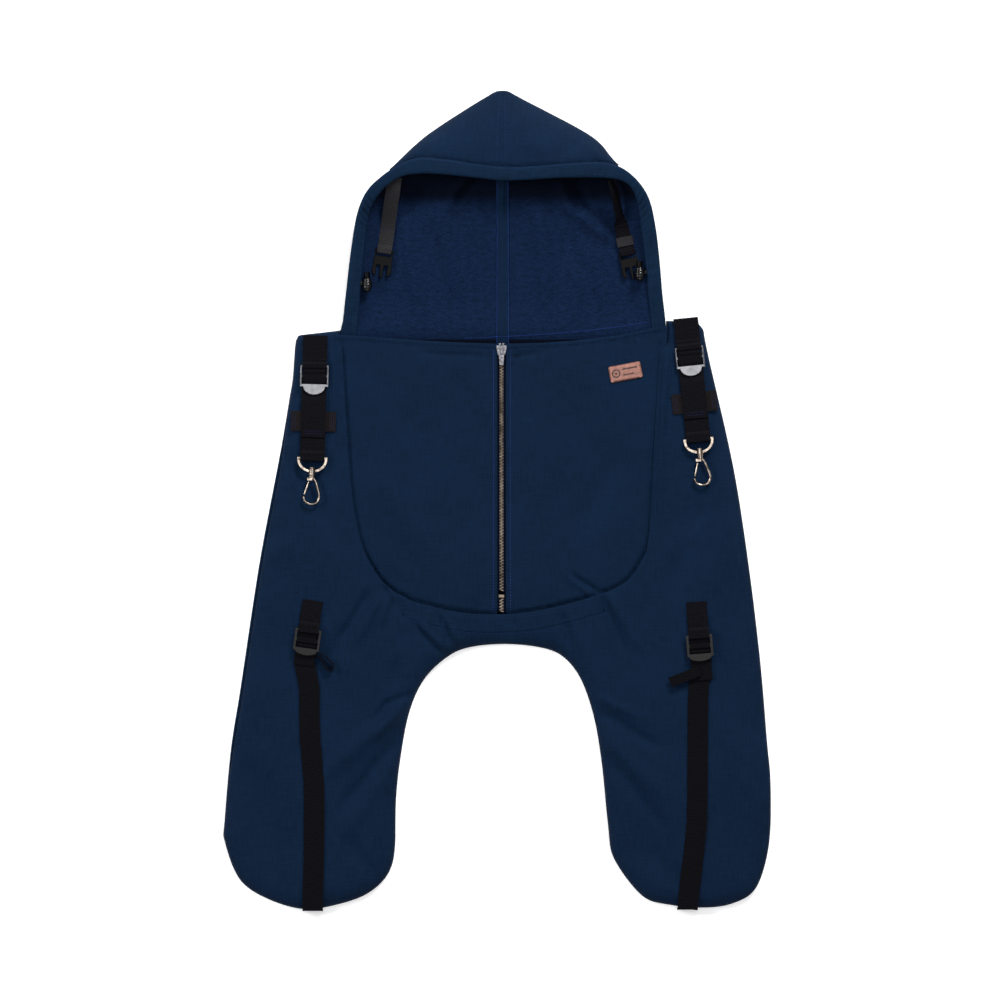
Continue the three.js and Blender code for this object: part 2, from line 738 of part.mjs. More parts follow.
const silhouette = prism(hoodOutline, 0, 2 * hoodHeight);
const flatStretch = box(-laidWidth, laidWidth, neckY, hoodStart + 1, 0, cloth);
const hoodOuter = solid(silhouette).intersect(solid(underCrest(0, () => 0)).add(solid(flatStretch)));

// The opening for the face: inside the hem at the sides, up to the brim.
const sideStations = [neckY - 20, along(185), along(210), along(240), along(270), along(295), along(309)];
function sideAt(y, left) {
  const points = left ? hoodSides : hoodSides.slice().reverse();
  const i = Math.max(1, points.findIndex((point) => point.y >= y));
  const [a, b] = [points[i - 1], points[i]];
  return a.x + ((b.x - a.x) * (y - a.y)) / (b.y - a.y || 1);
}
const openingAt = (inset) => [
  ...sideStations
    .slice()
    .reverse()
    .map((y, i) => new THREE.Vector2(sideAt(Math.max(y, hoodStart), true) + inset + (i ? 0 : 6), y)),
  ...sideStations.map((y, i) => {
    const last = i === sideStations.length - 1;
    return new THREE.Vector2(sideAt(Math.max(y, hoodStart), false) - inset - (last ? 6 : 0), y);
  }),
  ...brimEdge.map((point) => new THREE.Vector2(point.x, point.y + hemWidth - inset)),
];
const opening = prism(openingAt(hemWidth), cloth + 1, 3 * hoodHeight);
const hemOutside = prism(openingAt(-1), -1, 3 * hoodHeight);

const inside = prism(offsetLoop(hoodOutline, -cloth), cloth, 2 * hoodHeight);
const hoodShell = cut(
  hoodOuter
    .subtract(solid(inside).intersect(solid(underCrest(cloth, () => cloth - 0.01, neckY - 5))))
    .subtract(solid(hemOutside).intersect(solid(underCrest(-1, (p) => p.y - hemDepth - gap)))),
  opening,
);
const halves = {
  left: box(-laidWidth, zipX - gap / 2, 0, laidLength, -1, 3 * hoodHeight),
  right: box(zipX + gap / 2, laidWidth, 0, laidLength, -1, 3 * hoodHeight),
};
const hood = place(cover, 0, 0);
for (const [side, half] of Object.entries(halves)) {
  piece(hood, `hood_${side}`, hoodShell.intersect(solid(half)), navy);
}

// The hem: a casing round the opening, hollow for the drawcord.
const channel = cordDiameter / 2 + channelClearance;
const cordDepth = hemDepth / 2;
const hemMiddle = openingAt(hemWidth / 2 - 1);
const channelBand = prism(offsetLoop(hemMiddle, channel), -1, 3 * hoodHeight);
const channelCore = prism(offsetLoop(hemMiddle, -channel), -2, 4 * hoodHeight);
const channelSolid = solid(channelBand)
  .subtract(solid(channelCore))
  .intersect(solid(underCrest(cordDepth - channel, (p) => p.y - cordDepth - channel, hoodStart - 5)));
const hemTrim = prism(openingAt(-1 + gap), -1, 3 * hoodHeight);
const hem = hoodOuter
  .intersect(solid(hemTrim))
  .intersect(solid(underCrest(0, (p) => p.y - hemDepth)))
  .subtract(solid(opening))
  .subtract(channelSolid);
const tapeHalf = 7.5;
// Where each end of the drawcord leaves the hem, on its inner face.
const cordExit = (side, inward, y) => ({
  side,
  inward,
  y,
  face: sideAt(y, inward > 0) + inward * hemWidth,
  level: crestHeight(y) - cordDepth,
});
const exits = [cordExit("left", 1, along(214.5)), cordExit("right", -1, along(225.5))];
const crosswiseRod = (radius, length, x, exit) =>
  new THREE.CylinderGeometry(radius, radius, length, 12).rotateZ(Math.PI / 2).translate(x, exit.y, exit.level);
const bores = exits.map((exit) => crosswiseRod(channel, hemWidth, exit.face, exit));
piece(hood, "hood_hem", cut(hem, ...bores), navy);
piece(
  hood,
  "hood_seam_tape",
  box(zipX - tapeHalf, zipX + tapeHalf, neckY + 4, along(395), cloth + gap, cloth + gap + 0.8),
  fleece,
);

// ---- Drawcord and its locks ------------------------------------------------------------------

const lockBody = { across: 5.2, along: 8, up: 4.6, button: 3, travel: 2.4 };
const knot = 2.6;
const cordRadius = cordDiameter / 2;

// The cord runs round the brim inside the hem, and each end leaves it, passes a lock and ends in a knot.
const cordSide = (exit) => {
  const reach = [0, -exit.inward * laidWidth];
  return box(Math.min(...reach), Math.max(...reach), exit.y - cordRadius, laidLength, -1, 3 * hoodHeight);
};
const cordRound = solid(prism(offsetLoop(hemMiddle, cordRadius), -1, 3 * hoodHeight))
  .subtract(solid(prism(offsetLoop(hemMiddle, -cordRadius), -2, 4 * hoodHeight)))
  .intersect(solid(underCrest(cordDepth - cordRadius, (p) => p.y - cordDepth - cordRadius, hoodStart - 5)))
  .intersect(joined(...exits.map(cordSide)));

function cordEnd(exit) {
  const start = exit.face - exit.inward * (hemWidth / 2 + 1);
  const end = exit.face + exit.inward * (2 * lockBody.across + 1.6);
  return [
    crosswiseRod(cordRadius, Math.abs(end - start), (start + end) / 2, exit),
    new THREE.SphereGeometry(knot, 10, 8).translate(end + exit.inward, exit.y, exit.level),
  ];
}

const cordEnds = exits.flatMap(cordEnd);
piece(hood, "drawcord", cordEnds.reduce((all, one) => all.add(solid(one)), cordRound), black);

for (const { side, inward, y, face, level } of exits) {
  const group = place(hood, face + inward * (lockBody.across + gap), y, 0, level);
  const ball = new THREE.SphereGeometry(1, 18, 12);
  ball.scale(lockBody.across, lockBody.along, lockBody.up);
  const passage = new THREE.CylinderGeometry(cordRadius + gap, cordRadius + gap, 4 * lockBody.across, 12);
  const socketFoot = 2.2;
  const body = cut(
    joined(ball, rod(lockBody.button + 1, 2, lockBody.along + 0.5)),
    passage.rotateZ(Math.PI / 2),
    rod(lockBody.button + gap, socketFoot, lockBody.along + 2),
  );
  piece(group, `cord_lock_${side}`, body, plastic);
  const buttonFoot = socketFoot + lockBody.travel + gap;
  piece(group, `cord_lock_button_${side}`, rod(lockBody.button, buttonFoot, lockBody.along + 4.5), plastic);
}

// ---- Hood straps and their buckles -----------------------------------------------------------

const buckle = { bar: 2.4, thickness: 4.4, side: 1.6, slot: 4.4, body: 9, prong: 11 };
const buckleReach = loopReach(buckle.bar, buckle.bar);
const buckleLevel = cloth + gap + webThickness / 2 + buckleReach;
const strapLength = along(76) - cloth; // up to the hood's inner face
const barHalf = buckle.bar / 2;

// A flat strip along Y, bent up its own length by rise(t) and turned on edge by twist(t).
function bentStrip(width, thickness, y0, y1, level, rising, twist) {
  const strip = new THREE.BoxGeometry(width, y1 - y0, thickness, 1, 16, 1).translate(0, (y0 + y1) / 2, 0);
  const position = strip.getAttribute("position");
  const spot = new THREE.Vector3();
  for (let i = 0; i < position.count; i += 1) {
    spot.fromBufferAttribute(position, i);
    const t = (spot.y - y0) / (y1 - y0);
    const [y, angle] = [spot.y, THREE.MathUtils.degToRad(twist(t))];
    spot.setY(0).applyAxisAngle(new THREE.Vector3(0, 1, 0), angle);
    position.setXYZ(i, spot.x, y, spot.z + level + rising(t));
  }
  return strip;
}

function buckleShape() {
  const inner = hoodWeb / 2 + webClearance;
  const outer = inner + buckle.side;
  const slotFoot = -buckle.bar / 2 - buckle.slot;
  const bodyFoot = slotFoot - buckle.body;
  const prongFoot = bodyFoot - buckle.prong;
  const outline = line(
    [outer, buckle.bar / 2],
    [-outer, buckle.bar / 2],
    [-outer, bodyFoot + 1],
    [-outer - 0.8, prongFoot + 5],
    [-outer + 1.6, prongFoot],
    [-outer + 3.6, prongFoot + 1],
    [-outer + 3.2, bodyFoot],
    [-1.7, bodyFoot],
    [-1.3, prongFoot - 1.5],
    [1.3, prongFoot - 1.5],
    [1.7, bodyFoot],
    [outer - 3.2, bodyFoot],
    [outer - 3.6, prongFoot + 1],
    [outer - 1.6, prongFoot],
    [outer + 0.8, prongFoot + 5],
    [outer, bodyFoot + 1],
  );
  const slot = line([-inner, slotFoot], [inner, slotFoot], [inner, -buckle.bar / 2], [-inner, -buckle.bar / 2]);
  const half = buckle.thickness / 2;
  return cut(
    solid(prism(outline, -half, half, [slot])),
    box(-inner, inner, -barHalf - 1, barHalf + 1, barHalf, half + 1),
    box(-inner, inner, -barHalf - 1, barHalf + 1, -half - 1, -barHalf),
  );
}

function hoodStrap(side, x, y, degrees, edgeOn, climbTo) {
  const group = place(hood, across(x), along(y), degrees);
  const clear = buckleReach;
  const bend = webThickness / 2;
  const [low, high] = [buckleLevel - 0.75, buckleLevel + 0.75];
  const loop = ribbon(
    [
      [14, low],
      [6, low],
      [1.8, buckleLevel - clear],
      [-clear + bend, buckleLevel - clear],
      [-clear, buckleLevel - clear + bend],
      [-clear, buckleLevel + clear - bend],
      [-clear + bend, buckleLevel + clear],
      [1.8, buckleLevel + clear],
      [6, high],
      [18, high],
    ],
    hoodWeb,
  );
  const climb = (t) => climbTo * t * t * (3 - 2 * t);
  const twist = (t) => edgeOn * Math.min(1, 3 * t) ** 2;
  const strip = bentStrip(hoodWeb, webThickness, 17, strapLength, high, climb, twist);
  piece(group, `hood_strap_${side}`, joined(loop, strip), grey);
  piece(place(group, 0, 0, 0, buckleLevel), `hood_buckle_${side}`, buckleShape(), plastic);
  return group;
}

hoodStrap("left", -112.5, 248.5, -8.3, 0, hoodHeight - 16);
const rightStrap = hoodStrap("right", 130.5, 246.5, 12.6, 60, hoodHeight - 19);

const sleeve = { wall: 0.9, length: 9.5, start: 6.8 };
const sleeveHalf = hoodWeb / 2 + gap;
const sleeveRise = webThickness + 0.75 + gap - 0.3;
const sleeveCut = box(-sleeveHalf, sleeveHalf, 0, 30, buckleLevel - sleeveRise, buckleLevel + sleeveRise);
const sleeveOuter = box(
  -sleeveHalf - sleeve.wall,
  sleeveHalf + sleeve.wall,
  sleeve.start,
  sleeve.start + sleeve.length,
  buckleLevel - sleeveRise - sleeve.wall,
  buckleLevel + sleeveRise + sleeve.wall,
);
piece(rightStrap, "hood_strap_keeper", cut(solid(sleeveOuter), sleeveCut), grey);

export default cover;
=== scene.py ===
import json
import math

import bmesh
import bpy
import numpy as np
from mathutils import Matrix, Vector, geometry, noise
from mathutils.bvhtree import BVHTree

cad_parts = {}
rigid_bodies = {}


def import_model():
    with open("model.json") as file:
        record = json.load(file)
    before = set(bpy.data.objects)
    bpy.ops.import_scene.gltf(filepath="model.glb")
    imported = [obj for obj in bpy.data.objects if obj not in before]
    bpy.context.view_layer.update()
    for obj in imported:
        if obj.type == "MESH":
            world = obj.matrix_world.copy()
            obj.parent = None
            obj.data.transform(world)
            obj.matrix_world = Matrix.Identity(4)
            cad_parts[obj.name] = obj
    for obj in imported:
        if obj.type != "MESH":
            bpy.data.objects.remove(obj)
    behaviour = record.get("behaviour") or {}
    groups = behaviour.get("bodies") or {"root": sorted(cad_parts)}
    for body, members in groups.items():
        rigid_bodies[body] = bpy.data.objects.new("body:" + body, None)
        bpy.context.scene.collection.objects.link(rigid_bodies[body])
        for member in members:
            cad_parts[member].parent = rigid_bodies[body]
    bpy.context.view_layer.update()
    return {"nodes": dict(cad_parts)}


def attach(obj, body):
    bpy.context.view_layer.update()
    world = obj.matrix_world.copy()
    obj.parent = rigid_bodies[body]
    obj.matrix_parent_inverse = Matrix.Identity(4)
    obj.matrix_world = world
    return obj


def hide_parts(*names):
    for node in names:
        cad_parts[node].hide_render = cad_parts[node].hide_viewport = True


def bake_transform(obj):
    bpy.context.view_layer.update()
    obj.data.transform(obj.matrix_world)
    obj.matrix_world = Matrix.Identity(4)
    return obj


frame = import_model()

nodes = frame["nodes"]
SIDES = ("left", "right")
MM = 0.001

# ---- Camera, light and floor ----


def placed(name, data):
    made = bpy.data.objects.new(name, data)
    bpy.context.scene.collection.objects.link(made)
    return made


CAMERA_HEIGHT = 8.0
VIEW_WIDTH = 1.0
VIEW_CENTRE = (0.003, -0.0005)
FLOOR_HALF = 12


def make_camera():
    data = bpy.data.cameras.new("camera")
    data.sensor_width = 36
    data.lens = data.sensor_width * CAMERA_HEIGHT / VIEW_WIDTH
    data.clip_end = 100
    camera = placed("camera", data)
    camera.location = (*VIEW_CENTRE, CAMERA_HEIGHT)
    bpy.context.scene.camera = camera


def area_light(name, place, size, power):
    data = bpy.data.lights.new(name, "AREA")
    data.shape = "DISK"
    data.size = size
    data.energy = power
    lamp = placed(name, data)
    lamp.location = place
    lamp.rotation_euler = (-Vector(place)).to_track_quat("-Z", "Y").to_euler()


def node(tree, kind, inputs=None, **settings):
    made = tree.nodes.new("ShaderNode" + kind)
    for key, value in settings.items():
        setattr(made, key, value)
    for key, value in (inputs or {}).items():
        if isinstance(value, bpy.types.NodeSocket):
            tree.links.new(value, made.inputs[key])
        else:
            made.inputs[key].default_value = value
    return made


def ramp(tree, share, *stops):
    """A blend of two colours: each stop is a position and a colour."""
    made = node(tree, "ValToRGB", {0: share})
    for element, (position, colour) in zip(made.color_ramp.elements, stops):
        element.position = position
        element.color = colour
    return made.outputs[0]


def make_studio():
    world = bpy.data.worlds.new("studio")
    bpy.context.scene.world = world
    world.use_nodes = True
    tree = world.node_tree
    background = tree.nodes["Background"]
    direction = node(tree, "TexCoord").outputs["Generated"]
    height = node(tree, "SeparateXYZ", {0: direction}).outputs["Z"]
    sky = ramp(tree, height, (0.05, (0.30, 0.22, 0.16, 1)), (0.55, (0.95, 0.97, 1.0, 1)))
    seen = node(tree, "LightPath").outputs["Is Camera Ray"]
    shown = node(tree, "MixRGB", {0: seen, 1: sky, 2: (0.9, 0.9, 0.9, 1)})
    tree.links.new(shown.outputs[0], background.inputs["Color"])
    background.inputs["Strength"].default_value = 0.42
    area_light("key", (0.9, 2.5, 2.0), 0.9, 95)
    area_light("side", (-2.3, 0.7, 1.9), 1.2, 40)
    area_light("top", (0.2, 0.2, 3.6), 2.2, 34)
    bpy.context.scene.view_settings.view_transform = "Standard"


def make_floor():
    mesh = bpy.data.meshes.new("floor")
    corners = [(x * FLOOR_HALF, y * FLOOR_HALF, 0) for x, y in ((-1, -1), (1, -1), (1, 1), (-1, 1))]
    mesh.from_pydata(corners, [], [(0, 1, 2, 3)])
    floor = placed("floor", mesh)
    paint = bpy.data.materials.new("floor_paint")
    paint.use_nodes = True
    tree = paint.node_tree
    shader = tree.nodes["Principled BSDF"]
    mottle = node(tree, "TexNoise", {"Scale": 3.0})
    tone = ramp(tree, mottle.outputs[0], (0, (0.93, 0.93, 0.93, 1)), (1, (0.96, 0.96, 0.96, 1)))
    tree.links.new(tone, shader.inputs["Base Color"])
    shader.inputs["Roughness"].default_value = 0.9
    shader.inputs["Emission Color"].default_value = (1, 1, 1, 1)
    shader.inputs["Emission Strength"].default_value = 0.35
    mesh.materials.append(paint)


make_camera()
make_studio()
make_floor()

# ---- Materials ----


def linear(r, g, b):
    """A colour given as 0 to 255 screen values, as the linear values that a shader takes."""
    share = [v / 255 for v in (r, g, b)]
    return (*(s / 12.92 if s <= 0.04045 else ((s + 0.055) / 1.055) ** 2.4 for s in share), 1)


def shaded(name, roughness, **sockets):
    """A new material with its tree and its shader, whose constant sockets are set."""
    made = bpy.data.materials.new(name)
    made.use_nodes = True
    shader = made.node_tree.nodes["Principled BSDF"]
    shader.inputs["Roughness"].default_value = roughness
    for key, value in sockets.items():
        shader.inputs[key.replace("_", " ")].default_value = value
    return made, made.node_tree, shader


def cloth_place(tree):
    """Where a point is in its cloth, in millimetres: across it and along it."""
    return node(tree, "Attribute", attribute_name="weave").outputs["Vector"]


def stretched(tree, place, x, y):
    return node(tree, "Mapping", {0: place, "Scale": (x, y, 1)}).outputs[0]


def ripple(tree, place, pitch, direction):
    """Even ridges of that pitch in millimetres."""
    scale = 2 * math.pi / 20 / pitch
    return node(tree, "TexWave", {"Vector": place, "Scale": scale}, bands_direction=direction).outputs["Fac"]


def maths(tree, operation, a, b):
    return node(tree, "Math", {0: a, 1: b}, operation=operation).outputs[0]


def grained(tree, place, size, detail=2.0):
    return node(tree, "TexNoise", {"Vector": place, "Scale": 1 / size, "Detail": detail}).outputs["Fac"]


def tinted(tree, shader, share, dark, light):
    tree.links.new(ramp(tree, share, (0.25, dark), (0.75, light)), shader.inputs["Base Color"])


def bumped(tree, shader, height, depth, strength=1.0):
    """depth is the height of the bump in millimetres."""
    bump = node(tree, "Bump", {"Height": height, "Distance": depth * MM, "Strength": strength})
    tree.links.new(bump.outputs[0], shader.inputs["Normal"])


def scaled(tree, value, factor):
    return maths(tree, "MULTIPLY", value, factor)


def weighed(tree, *parts):
    """The sum of some values, each times its factor."""
    total, *rest = [scaled(tree, value, factor) for value, factor in parts]
    for term in rest:
        total = maths(tree, "ADD", total, term)
    return total


SHELL_PITCH = 0.9


def soft_shell(name, dark, light):
    made, tree, shader = shaded(name, 0.85, Specular_IOR_Level=0.08)
    place = cloth_place(tree)
    weave = scaled(tree, ripple(tree, place, SHELL_PITCH, "X"), ripple(tree, place, SHELL_PITCH, "Y"))
    warp = grained(tree, stretched(tree, place, 0.9, 0.06), 1.0)
    weft = grained(tree, stretched(tree, place, 0.05, 0.8), 1.0)
    share = weighed(tree, (warp, 0.42), (weft, 0.34), (grained(tree, place, 70, 3), 0.24))
    tinted(tree, shader, share, dark, light)
    bumped(tree, shader, weighed(tree, (weave, 0.6), (share, 2.4)), 0.3)
    return made


# Painted shade on the fleece, by its y in millimetres: where the painted shade starts, where it is full, and
# how much darker the fleece is there. At the brim it is a painted shadow in the hood's hollow; at the neck
# it is a painted shadow line under the bib's top edge.
BRIM_PAINTED_SHADE = (292.0, 306.0, 0.8)
NECK_PAINTED_SHADE = (160.8, 159.0, 0.85)


# Share of painted shade by the fleece's y: 0 before start, rising smoothly to most at end.
def painted_shade(tree, place, start, end, most):
    y = node(tree, "SeparateXYZ", {0: place}).outputs["Y"]
    limits = {0: y, 1: start, 2: end, 3: 0.0, 4: most}
    return node(tree, "MapRange", limits, interpolation_type="SMOOTHSTEP").outputs[0]


def fleece_pile(name, dark, light):
    made, tree, shader = shaded(name, 0.95, Specular_IOR_Level=0.06)
    place = cloth_place(tree)
    pile = grained(tree, place, 1.6, 3)
    tufts = grained(tree, stretched(tree, place, 0.16, 0.28), 1.0)
    share = weighed(tree, (pile, 0.6), (tufts, 0.4))
    tinted(tree, shader, share, dark, light)
    # Painted shade: the fleece colour is mixed towards near black under the brim and just above the bib's
    # top edge, standing in for the shadow there.
    at_brim, at_neck = (painted_shade(tree, place, *span) for span in (BRIM_PAINTED_SHADE, NECK_PAINTED_SHADE))
    lit = shader.inputs["Base Color"].links[0].from_socket
    painted_shade_colour = node(tree, "MixRGB", {0: maths(tree, "MAXIMUM", at_brim, at_neck), 1: lit, 2: linear(2, 3, 8)})
    tree.links.new(painted_shade_colour.outputs[0], shader.inputs["Base Color"])
    bumped(tree, shader, share, 0.9)
    return made


def webbing(name, dark, light, rib=1.3):
    made, tree, shader = shaded(name, 0.75, Specular_IOR_Level=0.05)
    place = cloth_place(tree)
    weave = weighed(tree, (ripple(tree, place, rib, "Y"), 0.65), (ripple(tree, place, 1.9, "X"), 0.35))
    fray = grained(tree, stretched(tree, place, 1.1, 0.35), 1.0)
    tinted(tree, shader, weighed(tree, (weave, 0.45), (fray, 0.55)), dark, light)
    bumped(tree, shader, weave, 0.25)
    return made


def speckled(tree, size, detail=2.0):
    """Noise in the solid of a piece: size is in millimetres."""
    return grained(tree, node(tree, "TexCoord").outputs["Object"], size * MM, detail)


def metal(name, dark, light, roughness, size=6.0):
    made, tree, shader = shaded(name, roughness, Metallic=1.0)
    tinted(tree, shader, speckled(tree, size, 3.0), dark, light)
    bumped(tree, shader, speckled(tree, 0.5), 0.03, 0.5)
    return made


def moulded(name, dark, light, roughness, gloss, size=0.4, depth=0.04, strength=0.6):
    made, tree, shader = shaded(name, roughness, Specular_IOR_Level=gloss)
    grain = speckled(tree, size)
    tinted(tree, shader, grain, dark, light)
    bumped(tree, shader, grain, depth, strength)
    return made


def leather_hide(name, dark, light):
    made, tree, shader = shaded(name, 0.55)
    place = node(tree, "TexCoord").outputs["Object"]
    pores = node(tree, "TexVoronoi", {"Vector": place, "Scale": 1 / (0.9 * MM)}).outputs["Distance"]
    share = weighed(tree, (speckled(tree, 4, 4.0), 0.75), (pores, 0.25))
    tinted(tree, shader, share, dark, light)
    bumped(tree, shader, share, 0.15, 0.7)
    return made


def thread_fibre(name, dark, light):
    return moulded(name, dark, light, 0.7, 0.1, 0.5, 0.05, 1.0)


SHELL = soft_shell("navy_soft_shell", linear(3, 18, 36), linear(12, 35, 62))
FACING = soft_shell("navy_facing", linear(5, 22, 40), linear(16, 40, 66))
FLEECE = fleece_pile("blue_fleece", linear(3, 12, 28), linear(18, 36, 67))
BLACK_WEB = webbing("black_webbing", linear(2, 2, 4), linear(17, 16, 22))
BLACK_TAPE = webbing("black_tape", linear(2, 2, 4), linear(14, 14, 19), 2.2)
GREY_WEB = webbing("grey_webbing", linear(20, 20, 22), linear(50, 49, 52), 1.1)
KEEPER_WEB = webbing("keeper_webbing", linear(9, 8, 10), linear(33, 29, 30), 1.1)
ZIP_TAPE = webbing("zip_tape_weave", linear(6, 12, 24), linear(15, 25, 42), 0.9)
NICKEL = metal("polished_nickel", (0.03, 0.021, 0.015, 1), (0.50, 0.42, 0.35, 1), 0.17, 2.8)
GUNMETAL = metal("gunmetal", (0.05, 0.05, 0.054, 1), (0.13, 0.13, 0.14, 1), 0.3)
SATIN = metal("satin_silver", (0.02, 0.02, 0.023, 1), (0.21, 0.21, 0.23, 1), 0.26, 2.4)
# The shoulder locks' pull tabs are a lighter grey metal than their frames: a painted reflection, standing in
# for the lamp's bright reflection on a glossy tab seen from above.
TAB_REFLECTION_METAL = metal("brushed_tab", (0.18, 0.18, 0.19, 1), (0.31, 0.31, 0.33, 1), 0.42)
TEETH = metal("zip_teeth_metal", (0.010, 0.007, 0.005, 1), (0.21, 0.17, 0.14, 1), 0.28, 9.0)
PLASTIC = moulded("black_plastic", linear(2, 2, 3), linear(7, 7, 9), 0.32, 0.06)
LOCK_PLASTIC = moulded("lock_plastic", linear(3, 3, 4), linear(8, 8, 10), 0.24, 0.15)
GLOSSY = moulded("glossy_black_plastic", linear(4, 4, 5), linear(9, 9, 10), 0.2, 0.4)
DIM_THREAD = thread_fibre("dim_blue_thread", linear(22, 24, 58), linear(38, 42, 96))
SEAM_THREAD = thread_fibre("seam_thread", linear(20, 38, 92), linear(36, 62, 134))
DARK_THREAD = thread_fibre("dark_thread", linear(12, 12, 22), linear(26, 26, 42))
BLUE_THREAD = thread_fibre("blue_thread", linear(34, 46, 120), linear(60, 74, 160))
NAVY_THREAD = thread_fibre("navy_thread", linear(12, 28, 60), linear(30, 50, 96))
LEATHER = leather_hide("tan_leather", linear(108, 68, 58), linear(168, 116, 102))
LEATHER_MARK = leather_hide("burnt_leather", linear(38, 22, 18), linear(72, 40, 32))
CORD_BRAID = webbing("cord_braid", linear(14, 14, 15), linear(44, 44, 46), 1.6)

# ---- Outlines ----


def level_loop(name, level):
    """The outline of a CAD node's faces at that height, in millimetres, anticlockwise."""
    mesh = nodes[name].data
    key = {v.index: (round(v.co.x / MM, 2), round(v.co.y / MM, 2)) for v in mesh.vertices}
    steps = set()
    for face in mesh.polygons:
        if all(abs(mesh.vertices[i].co.z / MM - level) < 0.02 for i in face.vertices):
            corners = [key[i] for i in face.vertices]
            steps.update(zip(corners, corners[1:] + corners[:1]))
    edge = {a: b for a, b in steps if (b, a) not in steps}
    loops = []
    while edge:
        start, here = edge.popitem()
        loop = [start]
        while here != start:
            loop.append(here)
            here = edge.pop(here)
        loops.append(np.array(loop))
    loop = max(loops, key=len)
    return loop if area_of(loop) > 0 else loop[::-1]


def area_of(loop):
    x, y = loop[:, 0], loop[:, 1]
    return float(np.sum(x * np.roll(y, -1) - np.roll(x, -1) * y) / 2)


def spline(points, step, closed=False):
    """A smooth curve through the points, with a point about every step."""
    p = np.array(points, float)
    ends = [p[-1], p, p[:2]] if closed else [2 * p[0] - p[1], p, 2 * p[-1] - p[-2]]
    q = np.vstack([np.atleast_2d(e) for e in ends])
    made = []
    for a, b, c, d in zip(q, q[1:], q[2:], q[3:]):
        count = max(1, int(round(np.linalg.norm(c - b) / step)))
        t = (np.arange(count) / count)[:, None]
        bend_in, bend_out = 2 * a - 5 * b + 4 * c - d, 3 * b - a - 3 * c + d
        made.append(0.5 * (2 * b + (c - a) * t + bend_in * t**2 + bend_out * t**3))
    if not closed:
        made.append(p[-1:])
    return np.vstack(made)


def rounded_loop(loop, step, corner=38.0):
    """A closed outline made smooth between its corners."""
    into, out = loop - np.roll(loop, 1, 0), np.roll(loop, -1, 0) - loop
    turn = np.arctan2(into[:, 0] * out[:, 1] - into[:, 1] * out[:, 0], (into * out).sum(1))
    sharp = np.flatnonzero(np.abs(turn) > math.radians(corner))
    if not len(sharp):
        return spline(loop, step, closed=True)
    loop = np.roll(loop, -sharp[0], 0)
    marks = [*(sharp - sharp[0]), len(loop)]
    loop = np.vstack([loop, loop[:1]])
    return np.vstack([spline(loop[a : b + 1], step)[:-1] for a, b in zip(marks, marks[1:])])


def distance(points, line, closed=True):
    """How far each point is from a line."""
    a, b = (line, np.roll(line, -1, 0)) if closed else (line[:-1], line[1:])
    span = b - a
    square = np.maximum((span**2).sum(1), 1e-12)
    nearest = np.full(len(points), 1e9)
    for i in range(0, len(points), 1500):
        p = points[i : i + 1500, None]
        t = np.clip(((p - a) * span).sum(2) / square, 0, 1)
        nearest[i : i + 1500] = np.sqrt((((p - a) - t[..., None] * span) ** 2).sum(2).min(1))
    return nearest


def inside(points, loop):
    x, y = points[:, :1], points[:, 1:]
    a, b = loop, np.roll(loop, -1, 0)
    crosses = (a[:, 1] > y) != (b[:, 1] > y)
    rise = np.where(b[:, 1] == a[:, 1], 1e-9, b[:, 1] - a[:, 1])
    left = x < (b[:, 0] - a[:, 0]) * (y - a[:, 1]) / rise + a[:, 0]
    return (crosses & left).sum(1) % 2 == 1


def inset(loop, depth):
    """The outline moved inwards; depth is one number or one for each point."""
    along = np.roll(loop, -1, 0) - np.roll(loop, 1, 0)
    along /= np.linalg.norm(along, axis=1)[:, None]
    return loop + np.stack([-along[:, 1], along[:, 0]], 1) * np.reshape(depth, (-1, 1))


def step_between(low, high, value):
    t = np.clip((value - low) / (high - low), 0, 1)
    return t * t * (3 - 2 * t)


def run_of(line):
    """How far along a line each of its points is."""
    return np.concatenate([[0], np.cumsum(np.linalg.norm(np.diff(line, axis=0), axis=1))])


def ways_of(line):
    """The direction of a line at each of its points."""
    along = np.gradient(line, axis=0)
    return along / np.linalg.norm(along, axis=1)[:, None]


def ring_of(count):
    return np.linspace(0, 2 * math.pi, count, endpoint=False)


def ridge(value, middle, wide):
    return np.exp(-(((value - middle) / wide) ** 2))


def roll(share):
    """A quarter round: 0 at an edge, 1 from share 1 on."""
    return np.sqrt(1 - (1 - np.clip(share, 0, 1)) ** 2)


def ground(points, scale, seed, depth=2):
    """Smooth noise of about -1 to 1, by place in millimetres."""
    return np.array([noise.fractal(Vector((x / scale, y / scale, seed)), 1, 2, depth) for x, y in points])


FOLD_GAIN = 1.45
CREASE_GAIN = 1.95


def creases(points, lines, gain=FOLD_GAIN):
    """Folds in cloth: each is x0, y0, x1, y1, its half width and its height."""
    height = np.zeros(len(points))
    for x0, y0, x1, y1, wide, high in lines:
        a, span = np.array([x0, y0]), np.array([x1 - x0, y1 - y0])
        t = ((points - a) @ span) / (span @ span)
        off = (points - a) @ np.array([-span[1], span[0]]) / np.linalg.norm(span)
        window = step_between(-0.25, 0.2, t) * (1 - step_between(0.75, 1.3, t))
        height += gain * high * ridge(off, 0, wide) * window
    return height


# ---- Meshes ----


def weave_on(mesh, weave):
    field = mesh.attributes.new("weave", "FLOAT_VECTOR", "POINT")
    field.data.foreach_set("vector", np.asarray(weave, np.float32).ravel())


def make(name, points, faces, materials, weave=None, slots=None):
    """A smooth mesh object from points in millimetres."""
    mesh = bpy.data.meshes.new(name)
    mesh.from_pydata((np.asarray(points) * MM).tolist(), [], [list(map(int, f)) for f in faces])
    for paint in materials:
        mesh.materials.append(paint)
    if slots is not None:
        mesh.polygons.foreach_set("material_index", np.asarray(slots, np.int32))
    mesh.polygons.foreach_set("use_smooth", np.ones(len(mesh.polygons), bool))
    if weave is not None:
        weave_on(mesh, weave)
    mesh.update()
    return placed(name, mesh)


